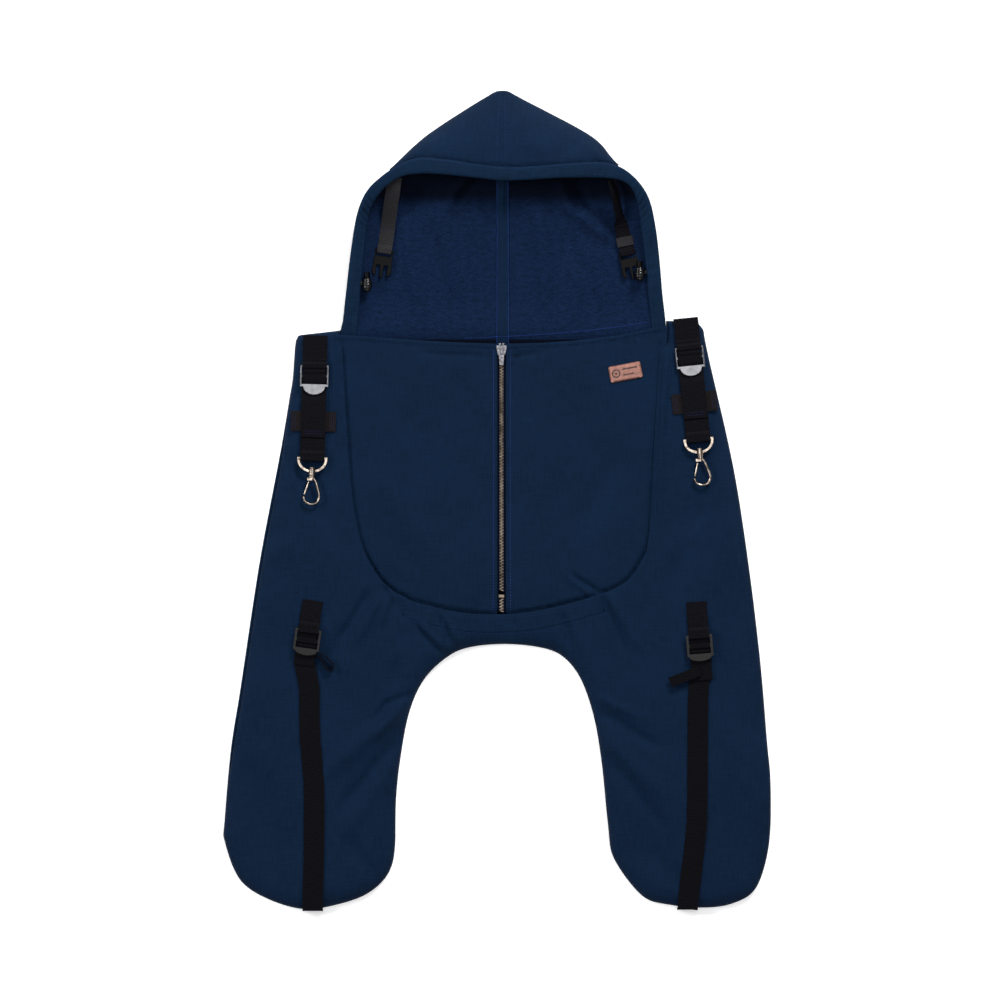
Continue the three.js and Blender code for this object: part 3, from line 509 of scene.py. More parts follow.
def fill(loop, spacing, rings):
    """Points and triangles that fill an outline, with rings of points just inside its edge."""
    layers = [loop]
    for depth in rings:
        ring = inset(loop, depth)
        layers.append(ring[(distance(ring, loop) > 0.85 * depth) & inside(ring, loop)])
    low, high = loop.min(0), loop.max(0)
    rows = np.arange(low[1], high[1], spacing * 0.87)
    grid = np.array([
        (x + (spacing / 2 if r % 2 else 0), y)
        for r, y in enumerate(rows)
        for x in np.arange(low[0], high[0], spacing)
    ])
    grid = grid + np.random.default_rng(7).uniform(-0.2, 0.2, grid.shape) * spacing
    grid = grid[inside(grid, loop)]
    layers.append(grid[distance(grid, loop) > rings[-1] + 0.55 * spacing])
    flat = np.vstack(layers)
    count = len(loop)
    edges = [(i, (i + 1) % count) for i in range(count)]
    points, _, faces, *_ = geometry.delaunay_2d_cdt([Vector(p) for p in flat], edges, [], 1, 1e-5)
    return np.array([tuple(p) for p in points]), [tuple(f) for f in faces]


EDGE_RINGS = (0.35, 0.9, 1.8, 3.2)


def sheet(name, loop, top, thickness, materials, spacing=4.5, rings=EDGE_RINGS):
    """A closed sheet of cloth: its upper side is at top(points), and its edge is rounded."""
    points, faces = fill(loop, spacing, rings)
    edge_distance = distance(points, loop)
    level = top(points)
    rounded = thickness / 2 * (1 - roll(edge_distance / (0.6 * thickness)))
    on_edge = edge_distance < 1e-3
    upper = np.column_stack([points, level - rounded])
    lower = np.column_stack([points, level - thickness + rounded])
    number = np.arange(len(points))
    below = np.where(on_edge, number, len(points) + np.cumsum(~on_edge) - 1)
    all_points = np.vstack([upper, lower[~on_edge]])
    upward = [f if area_of(points[list(f)]) > 0 else f[::-1] for f in faces]
    all_faces = upward + [tuple(below[list(f)][::-1]) for f in upward]
    slots = [0] * len(faces) + [len(materials) - 1] * len(faces)
    weave = np.column_stack([all_points[:, :2], np.zeros(len(all_points))])
    return make(name, all_points, all_faces, materials, weave, slots)


def surface_of(*objects):
    """Looks straight down on some pieces: gives the height of the topmost at each point, in millimetres."""
    trees = []
    for o in objects:
        corners = [v.co for v in o.data.vertices]
        trees.append(BVHTree.FromPolygons(corners, [tuple(f.vertices) for f in o.data.polygons]))

    def height(x, y):
        best = -1.0
        for tree in trees:
            hit = tree.ray_cast(Vector((x * MM, y * MM, 0.2)), Vector((0, 0, -1)))[0]
            if hit is not None:
                best = max(best, hit.z / MM)
        return best

    return height


def loft(name, rows, paint, weave=None):
    """A closed skin over rows of points, each row one section."""
    n, last = len(rows[0]), len(rows) - 1
    faces = [
        (i * n + j, i * n + (j + 1) % n, (i + 1) * n + (j + 1) % n, (i + 1) * n + j)
        for i in range(last)
        for j in range(n)
    ]
    faces += [tuple(range(n))[::-1], tuple(range(last * n, last * n + n))]
    return make(name, np.vstack(rows), faces, [paint], None if weave is None else np.vstack(weave))


def finish(piece, replaces=()):
    if replaces:
        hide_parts(*replaces)
    return piece


def settle(piece, body, replaces=()):
    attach(piece, body)
    return finish(piece, replaces)


def bend(piece, replaces=()):
    """Bakes the piece's placing into its points, and hides the CAD nodes that it replaces."""
    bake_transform(piece)
    return finish(piece, replaces)


def from_widest_gap(points):
    """The points of an open line, turned round so that it starts after its widest gap."""
    start = int(np.argmax(np.linalg.norm(np.roll(points, 1, 0) - points, axis=1)))
    return np.roll(points, -start, 0)


# ---- Body panels ----

CLOTH = 2.4
NECK_Y = 158.0
ZIP_X = 4.5
BIB_TOP = 10.4
FRONT_TOP = 13.1
BACK_HEM = 12
SHOULDER_WEB, LEG_WEB, HOOD_WEB = 24.4, 20.4, 14.4

# The frames that the straps are laid along: an origin on each strap's lock, and a turn in degrees.
SHOULDERS = {"left": ((-182, 133), -1.4), "right": ((191.5, 151.5), 5.9)}
LEGS = {"left": ((-188, -130.5), -8.0), "right": ((201.5, -136), 4.5)}
HOOD_STRAPS = {"left": ((-112.5, 248.5), -8.3), "right": ((130.5, 246.5), 12.6)}

body_loop = rounded_loop(level_loop("back_panel", CLOTH), 3.0)
front_loop = rounded_loop(level_loop("front_panel", FRONT_TOP), 3.0)


def left_edge_inset(points):
    """On the left side the front layer lies a little inside the back one, whose edge shows."""
    x, y = points[:, 0], points[:, 1]
    left = step_between(-180, -200, x)
    return 0.7 + 2.6 * left * step_between(-300, -230, y) * (1 - step_between(20, 90, y))


FRONT_FOLDS = [
    (164, 154, 156, -20, 2.2, -1.5), (170, 150, 162, 10, 5.0, 1.4), (172, 112, 166, 36, 2.0, -1.0),
    (-161, 158, -156, 112, 2.0, -1.2), (-166, 150, -162, 90, 4.0, 1.0),
    (-127, -94, -152, -134, 5.0, -2.0), (-150, -130, -168, -160, 8.0, -1.6),
    (-118, -100, -140, -140, 5.0, 1.5), (-112, -88, -103, -107, 2.2, -1.8),
    (-106, -94, -116, -122, 3.0, 1.4), (-98, -100, -94, -116, 2.2, -1.2),
    (-81, -127, -57, -153, 2.2, -1.9), (-74, -126, -50, -150, 2.6, 1.2),
    (-56, -119, -46, -143, 2.0, -1.9), (-50, -119, -38, -143, 2.4, 1.1),
    (-84, -194, -109, -203, 3.0, -1.8), (-108, -203, -121, -219, 4.0, -1.8),
    (-90, -204, -122, -236, 5.0, 1.5), (-99, -160, -101, -184, 3.5, -1.3),
    (-92, -205, -167, -270, 9.0, 1.9), (-95, -236, -150, -304, 7.0, -1.9),
    (-104, -262, -150, -330, 9.0, 1.4), (18, -122, 24, -144, 2.0, -1.3), (66, -118, 74, -150, 2.4, -1.5),
    (74, -116, 84, -150, 3.0, 1.1), (104, -98, 126, -150, 4.0, -2.0), (112, -96, 142, -148, 4.0, 1.4),
    (110, -258, 168, -330, 7.0, -1.8), (108, -236, 160, -290, 8.0, 1.6),
    (102, -212, 158, -246, 6.0, -1.7), (98, -196, 140, -216, 4.0, 1.2), (-235, -60, -175, -30, 12.0, 1.1),
    (240, -20, 190, -40, 10.0, 1.0), (-200, 40, -160, -40, 10.0, -1.1), (205, 0, 175, -90, 10.0, -1.1),
    (-250, -250, -190, -290, 12.0, 1.2), (255, -250, 200, -300, 12.0, 1.2),
    (-150, -340, -120, -380, 8.0, -1.2), (150, -350, 190, -390, 9.0, -1.2),
]


def in_frame(at, x, y):
    """How far across and along a piece's own frame a point of the row frame is."""
    (x0, y0), turn = at
    c, d = math.cos(math.radians(turn)), math.sin(math.radians(turn))
    return (x - x0) * c + (y - y0) * d, (y - y0) * c - (x - x0) * d


def spot(at, x, y, z=0.0):
    """A point of a piece's own frame, which has an origin and a turn, in the row frame."""
    (x0, y0), turn = at
    c, d = math.cos(math.radians(turn)), math.sin(math.radians(turn))
    return (x0 + x * c - y * d, y0 + x * d + y * c, z)


def under_straps(points):
    """1 below the straps that lie on the front panel, and 0 from 7 mm beside them on."""
    share = np.zeros(len(points))
    for frames, width in ((SHOULDERS, SHOULDER_WEB), (LEGS, LEG_WEB)):
        for at in frames.values():
            across, along = in_frame(at, *points.T)
            beside = np.abs(across) - width / 2
            share = np.maximum(share, (1 - step_between(2, 7, beside)) * (along < 40))
    return share


def front_top(points):
    rim = distance(points, body_loop)
    soft = 2.6 + (FRONT_TOP - 2.6) * roll((rim + 0.6) / 20)
    calm = roll(rim / 25)
    waves = 0.55 * ground(points, 95, 3) + 0.22 * ground(points, 30, 8)
    lift = waves - 0.25 + creases(points, FRONT_FOLDS, CREASE_GAIN)
    lift = lift - np.maximum(lift - 0.1, 0) * under_straps(points)
    return soft + lift * calm


def back_top(points):
    rim = distance(points, body_loop)
    return 2.5 + 0.8 * (1 - roll(rim / 14)) + 0.12 * ground(points, 60, 21)


outer = distance(front_loop, body_loop) < 0.6
trimmed = inset(front_loop, np.where(outer, left_edge_inset(front_loop), 0))
front = sheet("front_shell", trimmed, front_top, 2.8, [SHELL, FLEECE], 2.8)
settle(front, "body", ["front_panel"])
back = sheet("back_shell", body_loop, back_top, CLOTH, [FLEECE, SHELL], 6)
settle(back, "body", ["back_panel"])


def repaint(piece, chosen):
    """The faces whose middles are chosen, in millimetres, get the second material."""
    faces = piece.data.polygons
    marked = chosen(np.array([face.center[:] for face in faces]) / MM)
    index = np.array([face.material_index for face in faces])
    faces.foreach_set("material_index", np.where(marked, 1, index).astype(np.int32))


repaint(back, lambda middles: distance(middles[:, :2], body_loop) < BACK_HEM)

# How far the bib's top edge stands above the neck line, across the cover.
NECK_LIFTS = [
    (-160, 8.5), (-110, 5), (-72, 2.2), (-35, 0.3), (5, -1), (45, 0), (80, 2.5), (120, 7.5), (165, 17),
]


def neck_lift(x):
    return np.interp(x, *zip(*NECK_LIFTS))


def bib_top(points):
    x, y = points[:, 0], points[:, 1] - neck_lift(points[:, 0])
    edge = distance(points, u_edge, closed=False)
    deep = 0.3 + 0.7 * step_between(-40, -92, y)
    sag = (-1.2 * (1 - step_between(0, 26, edge)) - 5.0 * (1 - step_between(0.5, 3.6, edge))) * deep
    down = NECK_Y - y
    top_hem = 0.9 * (1 - step_between(5.5, 7.0, down)) - 1.1 * ridge(down, 7.4, 1.0)
    near_zip = ridge(x, ZIP_X, 70)
    puckers = np.sin(x / 1.9 + 1.7 * np.sin(x / 11)) * (0.25 + near_zip) * (1 - step_between(8, 20, down))
    waves = 0.45 * ground(points, 80, 5) + 0.15 * ground(points, 28, 9)
    lapel = ridge(np.abs(x - ZIP_X), 5.5, 2.2) - 0.5 * ridge(np.abs(x - ZIP_X), 8.8, 0.9)
    folds = creases(points, BIB_FOLDS, CREASE_GAIN)
    return np.maximum(BIB_TOP + sag + top_hem + 0.45 * puckers + waves * 0.8 + lapel + folds, 5.9)


BIB_FOLDS = [
    (73, -75, 106, -95, 2.6, -2.0), (66, -71, 98, -99, 3.0, 1.2), (-70, 146, -14, 143, 2.2, -1.2),
    (14, 142, 40, 146, 2.2, -1.2), (16, 130, 22, 146, 2.0, -0.9), (-40, 120, -12, 60, 9.0, -1.0),
    (60, 60, 20, -40, 14.0, 1.0), (-120, 20, -60, -60, 16.0, 1.2), (120, 40, 80, -30, 12.0, -1.0),
    (-130, 110, -90, 40, 14.0, 0.9),
]
front_rim = distance(front_loop, body_loop)
u_edge = front_loop[front_rim > 1.0]
u_edge = from_widest_gap(u_edge[u_edge[:, 1] < NECK_Y - 0.5])

bibs, bib_loops = {}, {}
for side in SIDES:
    loop = rounded_loop(level_loop("bib_" + side, BIB_TOP), 3.0)
    raised = step_between(NECK_Y - 30, NECK_Y - 2, loop[:, 1])
    loop[:, 1] += neck_lift(loop[:, 0]) * raised
    bib_loops[side] = loop
    bibs[side] = sheet("bib_shell_" + side, loop, bib_top, 2.6, [SHELL, FLEECE], 2.6)
    bend(bibs[side], ["bib_" + side, "bib_hem_" + side])

band_loop = rounded_loop(level_loop("crotch_band", 14.8), 3.0)


def band_top(points):
    x, y = points[:, 0], points[:, 1]
    rim = distance(points, band_loop)
    lip = distance(points, u_edge, closed=False)
    groove = 0.5 * ridge(lip, 3.4, 0.8)
    puckers = 0.2 * np.sin(x / 2.6 + 2 * np.sin(x / 19))
    calm = front_top(points) - FRONT_TOP
    return FRONT_TOP + 0.35 + 0.5 * (1 - step_between(2, 8, lip)) - groove + puckers * roll(rim / 5) + calm


band = sheet("band_shell", band_loop, band_top, 0.5, [SHELL], 2.6)
settle(band, "body", ["crotch_band"])

# ---- Hood ----

halves = [level_loop("hood_" + side, 0.0) for side in SIDES]
silhouette = np.vstack([half[np.abs(half[:, 0] - ZIP_X) > 0.5] for half in halves])
angle = np.arctan2(silhouette[:, 1] - 250, silhouette[:, 0] - ZIP_X)
silhouette = silhouette[np.argsort(angle)]
hood_loop = rounded_loop(silhouette, 3.0)

# The hem's two edges in plan with their heights, from the left end round the brim to the right end.
# At the sides the outer edge is the fold; at the brim it is the stitch line, and the fold is the inner edge.
HEM_OUTER = [
    (-157, 154, 3.4), (-154.5, 174, 10.5), (-151, 204, 17), (-147, 238, 22), (-142, 272, 29),
    (-137, 292, 33), (-129, 308, 35.5), (-116, 321, 37), (-98, 333, 38.5), (-78, 340, 39),
    (-50, 338.5, 39.6), (-20, 334, 40), (4, 331.5, 40.2), (30, 331.5, 40), (62, 334, 39.6), (92, 336, 39),
    (112, 334.5, 38.3), (128, 328, 37.2), (142, 315, 35.5), (152, 298, 33), (158, 272, 29),
    (162, 240, 22.5), (165, 206, 17), (168, 180, 12.5), (170, 154, 3.4),
]
HEM_INNER = [
    (-142, 154, 3.4), (-139, 176, 6.6), (-136.5, 206, 11), (-133, 240, 16), (-130, 272, 22),
    (-125.5, 291, 27), (-117, 304.5, 31.5), (-107, 314.5, 34.5), (-93, 322, 36), (-72, 324.5, 36.6),
    (-48, 323, 37), (-20, 320, 37.4), (4, 317.5, 37.6), (30, 318, 37.5), (60, 320, 37.2),
    (88, 320.4, 36.8), (108, 320, 36.4), (122, 318, 35.4), (132, 312.5, 33), (138, 302, 29.6),
    (141.5, 286, 25.8), (144, 266, 21.8), (147.5, 240, 16.5), (150.5, 208, 11), (153, 182, 7.5),
    (155, 154, 3.4),
]


EDGE_LEVELS = [
    (158, 3.0), (166, 7.0), (176, 10.5), (204, 15), (238, 20), (272, 27), (300, 31.5), (322, 33),
    (338, 25), (358, 14), (380, 7), (400, 3.5),
]


def edge_level(y):
    """Height of the hood's side at its outline, by how far it is from the neck."""
    return np.interp(y, *zip(*EDGE_LEVELS))


def lining_top(points):
    y = points[:, 1]
    rim = distance(points, hood_loop)
    climb = np.clip(1 - rim / 40, 0, 1)
    sunk = 2.6 * step_between(312, 330, y)
    bowl = np.maximum(edge_level(y) - 3.0 - sunk, 0) * climb**1.7
    seam = 0.8 * ridge(points[:, 0], ZIP_X, 3.0)
    folds = creases(points, LINING_FOLDS)
    waves = 0.5 * ground(points, 50, 14) + 0.25 * ground(points, 18, 15)
    inner = 1 - step_between(78, 100, np.abs(points[:, 0] - ZIP_X))
    pillow = 5.0 * step_between(235, 296, y) * (1 - step_between(330, 350, y)) * inner
    return np.maximum(3.0 + bowl + pillow + seam + (folds + waves) * step_between(160, 190, y), 2.5)


LINING_FOLDS = [
    (60, 322, 74, 286, 6.0, 5.0), (84, 286, 108, 262, 8.0, 5.0), (75, 324, 92, 292, 4.0, -5.0),
    (-20, 326, -42, 296, 4.5, -5.0), (70, 262, 84, 226, 6.0, -2.4), (40, 300, 50, 200, 9.0, 3.6),
    (96, 250, 112, 190, 8.0, 3.0), (-28, 326, -48, 292, 8.0, 6.0), (-60, 300, -40, 210, 10.0, 3.4),
    (-96, 290, -76, 190, 9.0, 3.4), (-20, 290, -14, 190, 5.0, 2.0), (80, 250, 76, 176, 8.0, 3.2),
]
under_bib = np.array([(-157.5, 147), (169.5, 147)], float)
keep = hood_loop[:, 1] > NECK_Y + 0.5
chain = inset(hood_loop, 1.2 * step_between(172, 190, hood_loop[:, 1]))
chain[:, 0] += np.sign(chain[:, 0]) * 2.5 * (1 - step_between(160, 178, chain[:, 1]))
chain = from_widest_gap(chain[keep])
base = np.linspace(chain[-1], under_bib[0], 8)[1:-1]
foot = np.linspace(under_bib[0], under_bib[1], 100)
rise = np.linspace(under_bib[1], chain[0], 8)[1:-1]
lining_loop = np.vstack([chain, base, foot, rise])
lining = sheet("hood_lining", lining_loop, lining_top, 2.2, [FLEECE, SHELL], 4.0)

outer_line = spline(HEM_OUTER, 1.2)
inner_line = np.array([
    np.interp(np.linspace(0, 1, len(outer_line)), np.linspace(0, 1, len(part)), part)
    for part in spline(HEM_INNER, 1.2).T
]).T


def crown_top(points):
    x, y = points[:, 0], points[:, 1]
    rim = distance(points, hood_loop)
    base = edge_level(y)
    crest = np.interp(y, [318, 336, 352, 385, 412], [42, 41, 38.5, 28, 15])
    seam_ridge = 1.1 * ridge(np.abs(x - ZIP_X + 0.5), 3.2, 1.7)
    folds = creases(points, CROWN_FOLDS) + 0.5 * ground(points, 55, 31)
    line = outer_line[outer_line[:, 1] > 296]
    within = np.interp(x, line[:, 0], line[:, 1]) - y
    folds = folds - 5.5 * step_between(-1.2, 1.8, within)
    swell = (np.maximum(crest, base + 2) - base) * roll(rim / 46) ** 0.9
    return base + swell + seam_ridge + folds * roll(rim / 12)


CROWN_FOLDS = [
    (-70, 350, -40, 380, 12, 0.8), (60, 345, 90, 362, 10, -0.9), (20, 380, 40, 350, 9, 0.8),
    (-112, 328, -78, 346, 4, 1.4), (-104, 322, -66, 350, 3, -1.0), (124, 330, 92, 348, 4, 1.2),
    (116, 324, 84, 350, 3, -1.0),
]
high = hood_loop[hood_loop[:, 1] > np.where(hood_loop[:, 0] < 0, 328, 333)]
high = from_widest_gap(high)
middle = outer_line * 0.6 + inner_line * 0.4
between = (middle[:, 0] > high[-1, 0] + 3) & (middle[:, 0] < high[0, 0] - 3)
under = middle[between & (middle[:, 1] > 300)][:, :2]
crown_loop = np.vstack([high, under])
crown = sheet("hood_crown", crown_loop, crown_top, 2.4, [SHELL, FLEECE], 4.0)

HEM_SECTION = 13
HEM_TWISTS = ((0.232, 0.030), (0.758, 0.030))  # where along the hem it turns over, and each turn's run
HEM_THICKNESS = 4.2


def hem_rows():
    rows, weave = [], []
    length = run_of(outer_line)
    share = np.linspace(0, 1, len(outer_line))
    for i, (a, b) in enumerate(zip(outer_line, inner_line)):
        across = b - a
        wide = np.linalg.norm(across)
        after, before = outer_line[min(i + 1, len(outer_line) - 1)], outer_line[max(i - 1, 0)]
        normal = np.cross(after - before, across)
        normal = normal / np.linalg.norm(normal)
        normal = normal if normal[2] > 0 else -normal
        twist = sum(ridge(share[i], at, run) for at, run in HEM_TWISTS)
        u = (1 - np.cos(np.linspace(0, math.pi, HEM_SECTION))) / 2
        thin = 0.3 + 0.7 * step_between(158, 178, a[1])
        thin = thin * (1 - 0.12 * step_between(316, 330, a[1]))
        plump = np.sqrt(np.clip(1 - (2 * u - 1) ** 4, 0, 1)) * HEM_THICKNESS / 2 * thin
        slant = length[i] / 2.3 + u * (3.0 if share[i] < 0.5 else -3.0)
        hump = np.sin(math.pi * u)
        pucker = (np.sqrt(np.abs(np.sin(slant))) - 0.75) * twist * 4.2 * hump * (0.5 + 0.7 * u)
        pucker = pucker + 0.16 * np.sin(length[i] / 2.1 + 1.3 * math.sin(length[i] / 17)) * hump
        top = a + across * u[:, None] + normal * (plump + pucker)[:, None]
        low = a + across * u[:, None] - normal * plump[:, None]
        rows.append(np.vstack([top, low[-2:0:-1]]))
        flat = np.concatenate([u, u[-2:0:-1]]) * wide
        weave.append(np.column_stack([flat, np.full(len(flat), length[i]), np.zeros(len(flat))]))
    return rows, weave


rows, weave = hem_rows()
hem = loft("hood_hem_casing", rows, FACING, weave)

settle(crown, "hood", ["hood_left", "hood_right"])
bend(lining)
bend(hem, ["hood_hem"])

# ---- Pieces cut from the frame ----


def body_of(name):
    return nodes[name].parent.name.split(":", 1)[1]


def weigh_normals(piece):
    """Large faces stay flat to the eye beside their rounded edges."""
    helper = piece.modifiers.new("weigh", "WEIGHTED_NORMAL")
    helper.keep_sharp = True
    graph = bpy.context.evaluated_depsgraph_get()
    plain = piece.data
    piece.data = bpy.data.meshes.new_from_object(piece.evaluated_get(graph))
    piece.modifiers.clear()
    bpy.data.meshes.remove(plain)


made_of = {}


def whole(bm):
    return bm.verts[:] + bm.edges[:] + bm.faces[:]


def recut(name, paint, bevel, at=((0, 0), 0.0), step=None, wobble=0.0, angle=42, ride=True):
    """A CAD piece with rounded edges, in strips of that step along its own length, and a little uneven."""
    bm = bmesh.new()
    bm.from_mesh(nodes[name].data)
    bmesh.ops.remove_doubles(bm, verts=bm.verts, dist=1e-6)
    bmesh.ops.dissolve_limit(bm, angle_limit=math.radians(2), verts=bm.verts, edges=bm.edges)
    sharp = [e for e in bm.edges if len(e.link_faces) == 2 and e.calc_face_angle(0) > math.radians(angle)]
    rounding = {"offset": bevel * MM, "segments": 2, "profile": 0.5, "affect": "EDGES"}
    bmesh.ops.bevel(bm, geom=sharp, clamp_overlap=True, **rounding)
    if step:
        local = [in_frame(at, v.co.x / MM, v.co.y / MM)[1] for v in bm.verts]
        way = spot(((0, 0), at[1]), 0, 1)
        for y in np.arange(math.ceil(min(local) / step) * step, max(local), step):
            cut_at = Vector(spot(at, 0, y)) * MM
            bmesh.ops.bisect_plane(bm, geom=whole(bm), dist=1e-7, plane_co=cut_at, plane_no=way)
    bmesh.ops.triangulate(bm, faces=bm.faces)
    weave = []
    for v in bm.verts:
        across, along = in_frame(at, v.co.x / MM, v.co.y / MM)
        weave.append((across, along + v.co.z / MM, 0))
        if wobble:
            v.co.z += wobble * MM * noise.noise(Vector((across / 9, along / 16, 3)))
            v.co.x += 0.9 * wobble * MM * noise.noise(Vector((along / 13, 5, len(name))))
    mesh = bpy.data.meshes.new(name + "_made")
    bm.to_mesh(mesh)
    bm.free()
    mesh.materials.append(paint)
    mesh.polygons.foreach_set("use_smooth", np.ones(len(mesh.polygons), bool))
    mesh.set_sharp_from_angle(angle=math.radians(angle))
    weave_on(mesh, weave)
    made = placed(name + "_made", mesh)
    weigh_normals(made)
    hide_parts(name)
    if ride:
        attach(made, body_of(name))
    made_of[name] = made
    return made


def follow_lock(piece):
    """Bakes the webbing's placing into its points; it does not bend with its lock."""
    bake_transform(piece)


def strip(name, paint, at, bevel=0.3, wobble=0.3, ride=True):
    """A piece of webbing, cut across every 3 mm."""
    return recut(name, paint, bevel, at, 3.0, wobble, ride=ride)


for side, at in SHOULDERS.items():
    strip("shoulder_anchor_web_" + side, BLACK_WEB, at, wobble=0.35)
    strip("shoulder_keeper_" + side, KEEPER_WEB, at, 0.25, 0.25)
    strap = strip("shoulder_strap_" + side, BLACK_WEB, at, wobble=0.18, ride=False)
    follow_lock(strap)
for side, at in LEGS.items():
    strip("leg_anchor_tab_" + side, BLACK_WEB, at)
    if side == "right":
        strip("leg_pull_loop_right", BLACK_TAPE, at, 0.25)
    strap = strip("leg_strap_" + side, BLACK_TAPE, at, wobble=0.35, ride=False)
    follow_lock(strap)
for side, paint in (("left", GREY_WEB), ("right", BLACK_WEB)):
    strap = strip("hood_strap_" + side, paint, HOOD_STRAPS[side], 0.25)
recut("hood_strap_keeper", GREY_WEB, 0.25, HOOD_STRAPS["right"], 2.0)

# Each hard piece's paint, its slot, how wide its edges are rounded in millimetres, and from what angle on.
HARD_PIECES = {
    "shoulder_lock_*": (GUNMETAL, "gunmetal", 0.5, 42),
    "leg_lock_*": (LOCK_PLASTIC, "black_plastic", 0.35, 42),
    "hood_buckle_*": (PLASTIC, "black_plastic", 0.6, 42),
    "cord_lock_button_*": (PLASTIC, "black_plastic", 0.4, 50),
    "d_ring_*": (NICKEL, "nickel", 0.2, 65),
    "swivel_hook_*": (NICKEL, "nickel", 0.2, 65),
    "hook_gate_*": (NICKEL, "nickel", 0.2, 65),
    "zip_slider": (SATIN, "zip_metal", 0.45, 42),
    "zip_puller": (SATIN, "zip_metal", 0.3, 42),
    "zip_teeth_*": (TEETH, "zip_metal", 0.18, 42),
    "zip_bottom_stop": (TEETH, "zip_metal", 0.3, 42),
    "zip_top_stop_*": (SATIN, "zip_metal", 0.3, 42),
}
for pattern, (paint, slot, bevel, angle) in HARD_PIECES.items():
    for key in sorted({pattern.replace("*", side) for side in SIDES}):
        recut(key, paint, bevel, angle=angle)


ZIP_PITCH = 3.0
TOOTH_REACH = 1.75
TAIL_PITCHES = 7
TAIL_ENDS = (-117.0, -98.8)


def chain_tail(name):
    """The chain goes on past its bottom stop, under the band."""
    bm = bmesh.new()
    bm.from_mesh(made_of[name].data)
    bmesh.ops.translate(bm, verts=bm.verts, vec=(0, -TAIL_PITCHES * ZIP_PITCH * MM, 0))
    for y, way in zip(TAIL_ENDS, (-1, 1)):
        cut = bmesh.ops.bisect_plane(
            bm, geom=whole(bm), dist=1e-7, plane_co=(0, y * MM, 0), plane_no=(0, way, 0), clear_outer=True
        )
        rim = [e for e in cut["geom_cut"] if isinstance(e, bmesh.types.BMEdge)]
        bmesh.ops.holes_fill(bm, edges=rim)
    mesh = made_of[name].data.copy()
    bm.to_mesh(mesh)
    bm.free()
    return settle(placed(name + "_tail", mesh), "body")


for side in SIDES:
    made_of["zip_teeth_" + side].data.materials.append(ZIP_TAPE)
    repaint(made_of["zip_teeth_" + side], lambda middles: np.abs(middles[:, 0] - ZIP_X) > TOOTH_REACH)
    chain_tail("zip_teeth_" + side)


BARS_END = -18.6  # the pull tab of a shoulder lock starts here


# Gives the pull tab of a shoulder lock its lighter metal, a painted reflection of the lamp.
def paint_tab_reflection(name, at):
    made_of[name].data.materials.append(TAB_REFLECTION_METAL)
    repaint(made_of[name], lambda middles: in_frame(at, middles[:, 0], middles[:, 1])[1] < BARS_END)


for side, at in SHOULDERS.items():
    paint_tab_reflection("shoulder_lock_" + side, at)


def webbing_roll(name, at, middle, half, width, level, rise, body):
    """Webbing that passes over a bar of a lock, seen as a soft roll."""
    rows, weave = [], []
    a = ring_of(20)
    for x in np.linspace(-width / 2, width / 2, 18):
        fold = 0.12 * noise.noise(Vector((x / 4, middle, 2)))
        y, z = middle + half * np.cos(a), level + (rise + fold) * np.sin(a)
        rows.append([spot(at, x, v, w) for v, w in zip(y, z)])
        weave.append(np.column_stack([np.full(20, x), y + z, 0 * a]))
    rolled = loft(name, rows, BLACK_WEB, weave)
    return settle(rolled, body)


for side, at in SHOULDERS.items():
    webbing_roll("strap_roll_upper_" + side, at, -4.9, 3.7, 22.6, 17.2, 2.2, "shoulder_lock_" + side)
    webbing_roll("strap_roll_lower_" + side, at, -13.6, 4.2, 22.6, 17.3, 2.5, "shoulder_lock_" + side)
LOOP_POINTS = [
    (-180, -152), (-174, -155), (-168, -160), (-163.6, -165), (-164.4, -169.6), (-168, -170.4),
    (-171.4, -166), (-175, -159.4), (-181, -155.4),
]
LOOP_HEIGHTS = (14.2, 20.2)
LOOP_HALF = 0.65


def standing_loop():
    """The left pull loop: a tape on its edge, doubled back on itself."""
    line = spline(LOOP_POINTS, 1.0)
    along = ways_of(line)
    side = np.stack([-along[:, 1], along[:, 0]], 1) * LOOP_HALF
    low, high = LOOP_HEIGHTS
    rows, weave = [], []
    for i, (p, n) in enumerate(zip(line, side)):
        corners = [(*(p + n), low + 0.4), (*(p + n), high - 0.4), (*p, high), (*(p - n), high - 0.4)]
        rows.append([*corners, (*(p - n), low + 0.4), (*p, low)])
        weave.append([(z, i, 0) for *_, z in rows[-1]])
    made = loft("leg_pull_loop_left_made", rows, BLACK_TAPE, weave)
    return settle(made, body_of("leg_pull_loop_left"), ["leg_pull_loop_left"])


standing_loop()
for side, at in LEGS.items():
    webbing_roll("leg_roll_upper_" + side, at, -5.0, 3.2, 19.0, 17.4, 1.9, "leg_lock_" + side)
    webbing_roll("leg_roll_lower_" + side, at, -14.4, 3.4, 19.0, 17.6, 2.1, "leg_lock_" + side)
for side in SIDES:
    recut("zip_tape_" + side, ZIP_TAPE, 0.15, step=4.0)

# ---- Drawcord and its locks ----

CORD_RADIUS = 1.5
LOCKS = {"left": (-129.6, 214.5, 15.3), "right": (142.4, 225.5, 17.2)}
LOCK_RADII = (5.2, 8.0, 4.6)
LOCK_GROOVES = (-4.4, -1.6, 1.2, 4.0)


def cord_lock(name, centre):
    rows = []
    for u in np.linspace(0.03, math.pi - 0.03, 44):
        y = -LOCK_RADII[1] * math.cos(u)
        groove = sum(ridge(y, at, 0.55) for at in LOCK_GROOVES)
        r = math.sin(u) * (1 - 0.11 * groove)
        a = ring_of(28)
        x, z = LOCK_RADII[0] * r * np.cos(a), LOCK_RADII[2] * r * np.sin(a)
        rows.append(np.column_stack([x, np.full(len(a), y), z]) + centre)
    return settle(loft(name + "_made", rows, GLOSSY), "hood", [name])


